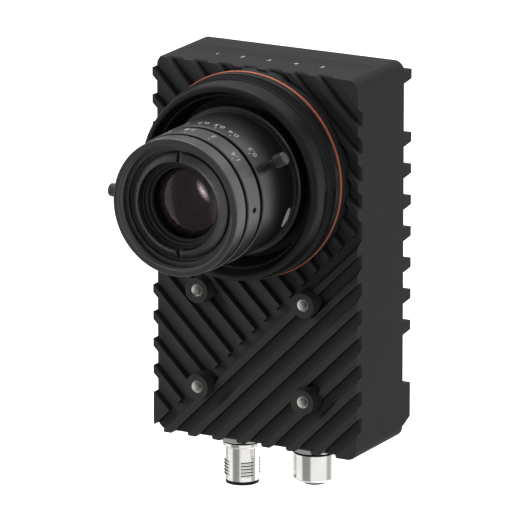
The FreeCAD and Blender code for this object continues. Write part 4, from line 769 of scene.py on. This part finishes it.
refined_copy("front_cell", "front_rim", lens_black, 0.10, body="lens_cell", even=True)
refined_copy("clamp_ring", "slotted_clamp", lens_black, 0.10, body="lens_cell")
baffle_black = turned_metal("baffle black", (0.007, 0.007, 0.007), 0.50, LENS_AXIS, FORWARD, 0.0, 0.3)
refined_copy("front_baffle", "stepped_baffle", baffle_black, 0.05, body="lens_cell")
finish_node("glass_spacer", baffle_black)
finish_node("iris_diaphragm", leaf_black)
finish_node("iris_retainer", leaf_black)
ridge = thread_ridge("filter_thread", 20.3, 19.95, 0.5, 4, 52.75, LENS_FLOOR, FORWARD, steps=96)
dress(ridge, lens_black, "lens_cell", "lens_black")

GLASS_STEPS = 14


def dome(edge, curve, radius, inward):
    """Points of a spherical face from its rim to near its middle, or back outwards."""
    hub = math.sqrt(curve * curve - radius * radius)
    rise = math.copysign(1, curve)
    points = []
    for step in range(GLASS_STEPS + 1):
        reach = radius * (1 - step / GLASS_STEPS) if step < GLASS_STEPS else radius * 0.01
        points.append((edge + rise * (math.sqrt(curve * curve - reach * reach) - hub), reach))
    return points if inward else points[::-1]


def lens_element(name, tail, tip, radius, front_curve, rear_curve, glass, *nodes):
    """A ground element between two places on the axis: two spherical faces and a straight rim."""
    drop_front = front_curve - math.sqrt(front_curve ** 2 - radius ** 2)
    drop_rear = abs(rear_curve) - math.sqrt(rear_curve ** 2 - radius ** 2)
    rear = tail + (drop_rear if rear_curve > 0 else 0)
    profile = dome(rear, -rear_curve, radius, False) + dome(tip - drop_front, front_curve, radius, True)
    piece = turned_piece(name, profile, LENS_FLOOR, FORWARD, sides=128, soft=0, closed=False)
    dress(piece, glass, "lens_cell", "coated_glass", *nodes)


def ground_node(node, name, front_curve, rear_curve, glass):
    """A lens element at its CAD solid's place and size, with truly smooth faces."""
    low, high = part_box(node)
    lens_element(name, RIB_FLOOR - high.y / MM, RIB_FLOOR - low.y / MM, (high.x - low.x) / 2 / MM,
                 front_curve, rear_curve, glass, node)


front_glass = optical_glass("front glass", (0.88, 0.95, 0.92), (0.80, 0.86, 0.90), 14.2, 0.35)
second_glass = optical_glass("second glass", (0.70, 0.88, 0.82), (0.70, 0.72, 0.80), 12.0, 0.8,
                             (1.0, 0.22, 0.38))
inner_glass = optical_glass("inner glass", (0.70, 0.88, 0.82), (0.70, 0.76, 0.80), 12.0)
ground_node("front_glass", "front_element", 30.0, -60.0, front_glass)
lens_element("second_element", 37.6, 41.8, 12.1, 70.0, 42.0, second_glass)
ground_node("middle_glass", "middle_element", 42.0, 30.0, inner_glass)
ground_node("rear_glass", "rear_element", 60.0, 36.0, inner_glass)


# ---- Iris ring -------------------------------------------------------------------------------
# The aperture ring turns on the cell's neck. Its stops are engraved and filled with white, and a
# headless screw in its side ties it to the leaves.

IRIS_RADIUS = 22.85
refined_copy("iris_ring", "aperture_ring", lens_black, 0.10, body="iris_ring", even=True)
scale_marks("iris", [("1.4", 45, 0.9), ("2", 70.5, 0), ("2.8", 92, 0), ("4", 111, 0),
                     ("5.6", 127, 0), ("8", 142, 0), ("11", 156, 0)],
            IRIS_RADIUS, 43.4, 46.9, "iris_ring", 3.2, 0.9)
finish_node("iris_set_screw", leaf_black)


# ---- Lock screws -----------------------------------------------------------------------------
# Two blackened thumb screws lock the rings. Each has a thin neck and a straight-knurled head.

KNOB_RADIUS, KNOB_LENGTH, KNOB_STANDOFF = 2.1, 4.0, 2.5


def knurled_knob(node, name, angle, forward, ring_radius, body):
    """The screw's own shape with a finely knurled head over its plain one."""
    turn = math.radians(angle)
    axis = Vector((math.cos(turn), 0, math.sin(turn)))
    foot = LENS_FLOOR + FORWARD * forward * MM
    knob_black = turned_metal(f"{name} black", (0.020, 0.020, 0.021), 0.36, foot, axis, 0.0,
                              rubbed_and_lit=(0.05, 0.05, 0.05))
    refined_copy(node, name, knob_black, 0.08, body=body)
    head = ring_radius + KNOB_STANDOFF
    knurl = serrated_ring(f"{name}_knurl", KNOB_RADIUS + 0.06, 0.08, head + 0.45,
                          KNOB_LENGTH - 0.9, 28, foot, axis)
    dress(knurl, knob_black, body, "knob_black")


knurled_knob("focus_lock_screw", "focus_thumb_screw", 28.0, 30.0, FOCUS_RADIUS, "focus_lock")
knurled_knob("iris_lock_screw", "iris_thumb_screw", 180.0, 44.55, IRIS_RADIUS, "iris_lock")


# ---- Lens tube and its seal ------------------------------------------------------------------
# A turned and black-anodised tube pushes onto the hub, with an orange ring squeezed behind it.
# Its three turns of thread take the clear lens cover, which is left off.

def squeezed_rubber(name, colour, shade, root, crest):
    """Moulded rubber that is lit only on its crest: below the crest, by distance from the lens axis, its
    colour falls to a painted shade.
    """
    material = moulded_material(name, colour, 0.55)
    tree = material.node_tree
    lit_crest = tree.nodes.new("ShaderNodeMapRange")
    lit_crest.inputs["From Min"].default_value = root * MM
    lit_crest.inputs["From Max"].default_value = crest * MM
    tree.links.new(axis_distance(tree), lit_crest.inputs["Value"])
    shader = tree.nodes["Principled BSDF"]
    tone = shader.inputs["Base Color"].links[0].from_socket
    tree.links.new(blend_colours(tree, lit_crest.outputs["Result"], shade, tone), shader.inputs["Base Color"])
    return material


# Only the seal's crest is orange; its sides are painted in shade.
seal_orange = squeezed_rubber("seal orange", (0.56, 0.115, 0.035), (0.022, 0.010, 0.007), 33.78, 33.93)
tube_black = turned_metal("tube black", (0.0075, 0.0075, 0.0077), 0.46, LENS_AXIS, FORWARD, 0.0,
                          0.16, relief=0.3, rubbed_and_lit=(0.030, 0.030, 0.030))
refined_copy("lens_tube", "guard_tube", tube_black, 0.12)
ridge = thread_ridge("cover_thread_ridge", 32.8, 33.4, 1.4, 3, 9.95, LENS_FLOOR, FORWARD, steps=144)
dress(ridge, tube_black, "camera", "tube_coat")
finish_node("cover_seal", seal_orange)


# ---- Camera, floor and light -----------------------------------------------------------------
# A long lens looks from far off, from the front right and a little above. Three soft lamps light
# the object; the white floor and world also give its metal and glass something to mirror.

VIEW_DISTANCE, FOCAL_LENGTH, FLOOR_DEPTH = 2.468, 524.5, 0.21
target = Vector((0.72, 6.25, 26.76)) * MM
azimuth, elevation = math.radians(28.37), math.radians(15.12)
back = Vector((math.sin(azimuth) * math.cos(elevation), -math.cos(azimuth) * math.cos(elevation),
               math.sin(elevation)))
lens = bpy.data.cameras.new("camera")
lens.lens = FOCAL_LENGTH
lens.sensor_width = 36
lens.clip_start = 0.1
lens.clip_end = 50
viewer = bpy.data.objects.new("camera", lens)
viewer.location = target + back * VIEW_DISTANCE
viewer.rotation_euler = (-back).to_track_quat("-Z", "Y").to_euler()
bpy.context.scene.collection.objects.link(viewer)
bpy.context.scene.camera = viewer
bpy.context.scene.view_settings.view_transform = "Standard"


def soft_light(name, place, size, power):
    """A square soft box that faces the object; only the top one shows in mirrored rays."""
    lamp = bpy.data.lights.new(name, "AREA")
    lamp.energy = power
    lamp.shape = "RECTANGLE"
    lamp.size = lamp.size_y = size
    lamp_object = bpy.data.objects.new(name, lamp)
    lamp_object.location = place
    facing = (Vector((0, 0, 0.03)) - Vector(place)).to_track_quat("-Z", "Y")
    lamp_object.rotation_euler = facing.to_euler()
    lamp_object.visible_glossy = name == "top"
    lamp_object.visible_transmission = False
    bpy.context.scene.collection.objects.link(lamp_object)


soft_light("edge", (0.8, 1.0, 0.75), 0.6, 3.5)
soft_light("top", (-0.25, 0.15, 1.15), 0.9, 9.0)
soft_light("fill", (-0.9, -0.8, 0.35), 0.5, 10.0)


WINDOW_MIDDLE, WINDOW_TURN, WINDOW_SIZE = Vector((-0.056, -0.997, 0.050)), 35, (0.11, 0.30, 1.0)
WALL_STOPS = [(-180, 0.80), (-140, 0.65), (-100, 0.5), (-88, 0.9), (-50, 0.9), (-42, 0.26), (4, 0.26),
              (14, 0.88), (98, 0.88), (106, 0.40), (126, 0.45), (145, 1.6), (172, 1.5), (180, 0.85)]


def studio_bands():
    """Wall stretches by azimuth, 0 in front and 90 on the right, and a soft window in front."""
    group, source, result = start_group("Studio Bands", {"Vector": None}, ["Walls", "Window"])
    split = group.nodes.new("ShaderNodeSeparateXYZ")
    group.links.new(source.outputs["Vector"], split.inputs[0])
    ahead = group.nodes.new("ShaderNodeMath")
    ahead.operation = "MULTIPLY"
    ahead.inputs[1].default_value = -1.0
    group.links.new(split.outputs["Y"], ahead.inputs[0])
    turn = group.nodes.new("ShaderNodeMath")
    turn.operation = "ARCTAN2"
    group.links.new(split.outputs["X"], turn.inputs[0])
    group.links.new(ahead.outputs[0], turn.inputs[1])
    part = group.nodes.new("ShaderNodeMapRange")
    part.inputs["From Min"].default_value = -math.pi
    part.inputs["From Max"].default_value = math.pi
    group.links.new(turn.outputs[0], part.inputs["Value"])
    wall = group.nodes.new("ShaderNodeValToRGB")
    wall.color_ramp.interpolation = "EASE"
    for number, (degrees, level) in enumerate(WALL_STOPS):
        place = (degrees + 180) / 360
        if number < 2:
            stop = wall.color_ramp.elements[number]
            stop.position = place
        else:
            stop = wall.color_ramp.elements.new(place)
        stop.color = (level, level, level, 1)
    group.links.new(part.outputs["Result"], wall.inputs["Fac"])
    ahead = group.nodes.new("ShaderNodeVectorMath")
    ahead.operation = "NORMALIZE"
    group.links.new(source.outputs["Vector"], ahead.inputs[0])
    window = group.nodes.new("ShaderNodeMapping")
    window.vector_type = "TEXTURE"
    facing = (-WINDOW_MIDDLE).to_track_quat("-Z", "Y") @ Quaternion((0, 0, 1), math.radians(WINDOW_TURN))
    window.inputs["Location"].default_value = WINDOW_MIDDLE
    window.inputs["Rotation"].default_value = facing.to_euler()
    window.inputs["Scale"].default_value = WINDOW_SIZE
    group.links.new(ahead.outputs[0], window.inputs["Vector"])
    glow = group.nodes.new("ShaderNodeTexGradient")
    glow.gradient_type = "QUADRATIC_SPHERE"
    group.links.new(window.outputs["Vector"], glow.inputs["Vector"])
    group.links.new(glow.outputs["Fac"], result.inputs["Window"])
    group.links.new(wall.outputs["Color"], result.inputs["Walls"])
    return group


bands = studio_bands()
WINDOW_LEVEL, PASSED_SHARE, PASSED_LEVEL = 16.0, 0.2, 0.03


def backdrop_level(tree, coordinate, shift, soft):
    """White for camera rays, walls and window for mirrored ones, a soft level for the others."""
    place = tree.nodes.new("ShaderNodeTexCoord")
    wall = add_group(tree, bands)
    direction = tree.nodes.new("ShaderNodeVectorMath")
    direction.inputs[1].default_value = shift
    tree.links.new(place.outputs[coordinate], direction.inputs[0])
    tree.links.new(direction.outputs[0], wall.inputs["Vector"])
    mirrored = tree.nodes.new("ShaderNodeMath")
    mirrored.operation = "MULTIPLY_ADD"
    mirrored.inputs[1].default_value = WINDOW_LEVEL
    tree.links.new(wall.outputs["Window"], mirrored.inputs[0])
    tree.links.new(wall.outputs["Walls"], mirrored.inputs[2])
    passed = tree.nodes.new("ShaderNodeMath")
    passed.operation = "MULTIPLY_ADD"
    passed.inputs[1].default_value = PASSED_SHARE
    passed.inputs[2].default_value = PASSED_LEVEL
    tree.links.new(wall.outputs["Walls"], passed.inputs[0])
    rays = tree.nodes.new("ShaderNodeLightPath")
    level = soft
    for kind, source in (("Is Glossy Ray", mirrored.outputs[0]), ("Is Transmission Ray", passed.outputs[0]),
                         ("Is Camera Ray", 1.0)):
        mix = tree.nodes.new("ShaderNodeMix")
        tree.links.new(rays.outputs[kind], mix.inputs["Factor"])
        for name, value in (("A", level), ("B", source)):
            if isinstance(value, float):
                mix.inputs[name].default_value = value
            else:
                tree.links.new(value, mix.inputs[name])
        level = mix.outputs["Result"]
    return level


bpy.ops.object.select_all(action="DESELECT")
bpy.ops.mesh.primitive_plane_add(size=8, location=(0, 0, -FLOOR_DEPTH))
floor = bpy.context.object
floor.name = "floor"
floor_paint, tree, shader = fresh_material("floor paint", (0.8, 0.8, 0.8), 0.9, gloss=0.0)
shader.inputs["Emission Color"].default_value = (1, 1, 1, 1)
tree.links.new(backdrop_level(tree, "Object", (0, 0.05, -0.27), 0.0), shader.inputs["Emission Strength"])
mirrored = tree.nodes.new("ShaderNodeLightPath").outputs["Is Glossy Ray"]
tree.links.new(blend_colours(tree, mirrored, (0.8, 0.8, 0.8), (0.0, 0.0, 0.0)), shader.inputs["Base Color"])
floor.data.materials.append(floor_paint)

world = bpy.data.worlds.new("studio")
bpy.context.scene.world = world
world.use_nodes = True
background = world.node_tree.nodes["Background"]
background.inputs["Color"].default_value = (1, 1, 1, 1)
world.node_tree.links.new(backdrop_level(world.node_tree, "Generated", (0, 0, 0), 0.40),
                          background.inputs["Strength"])
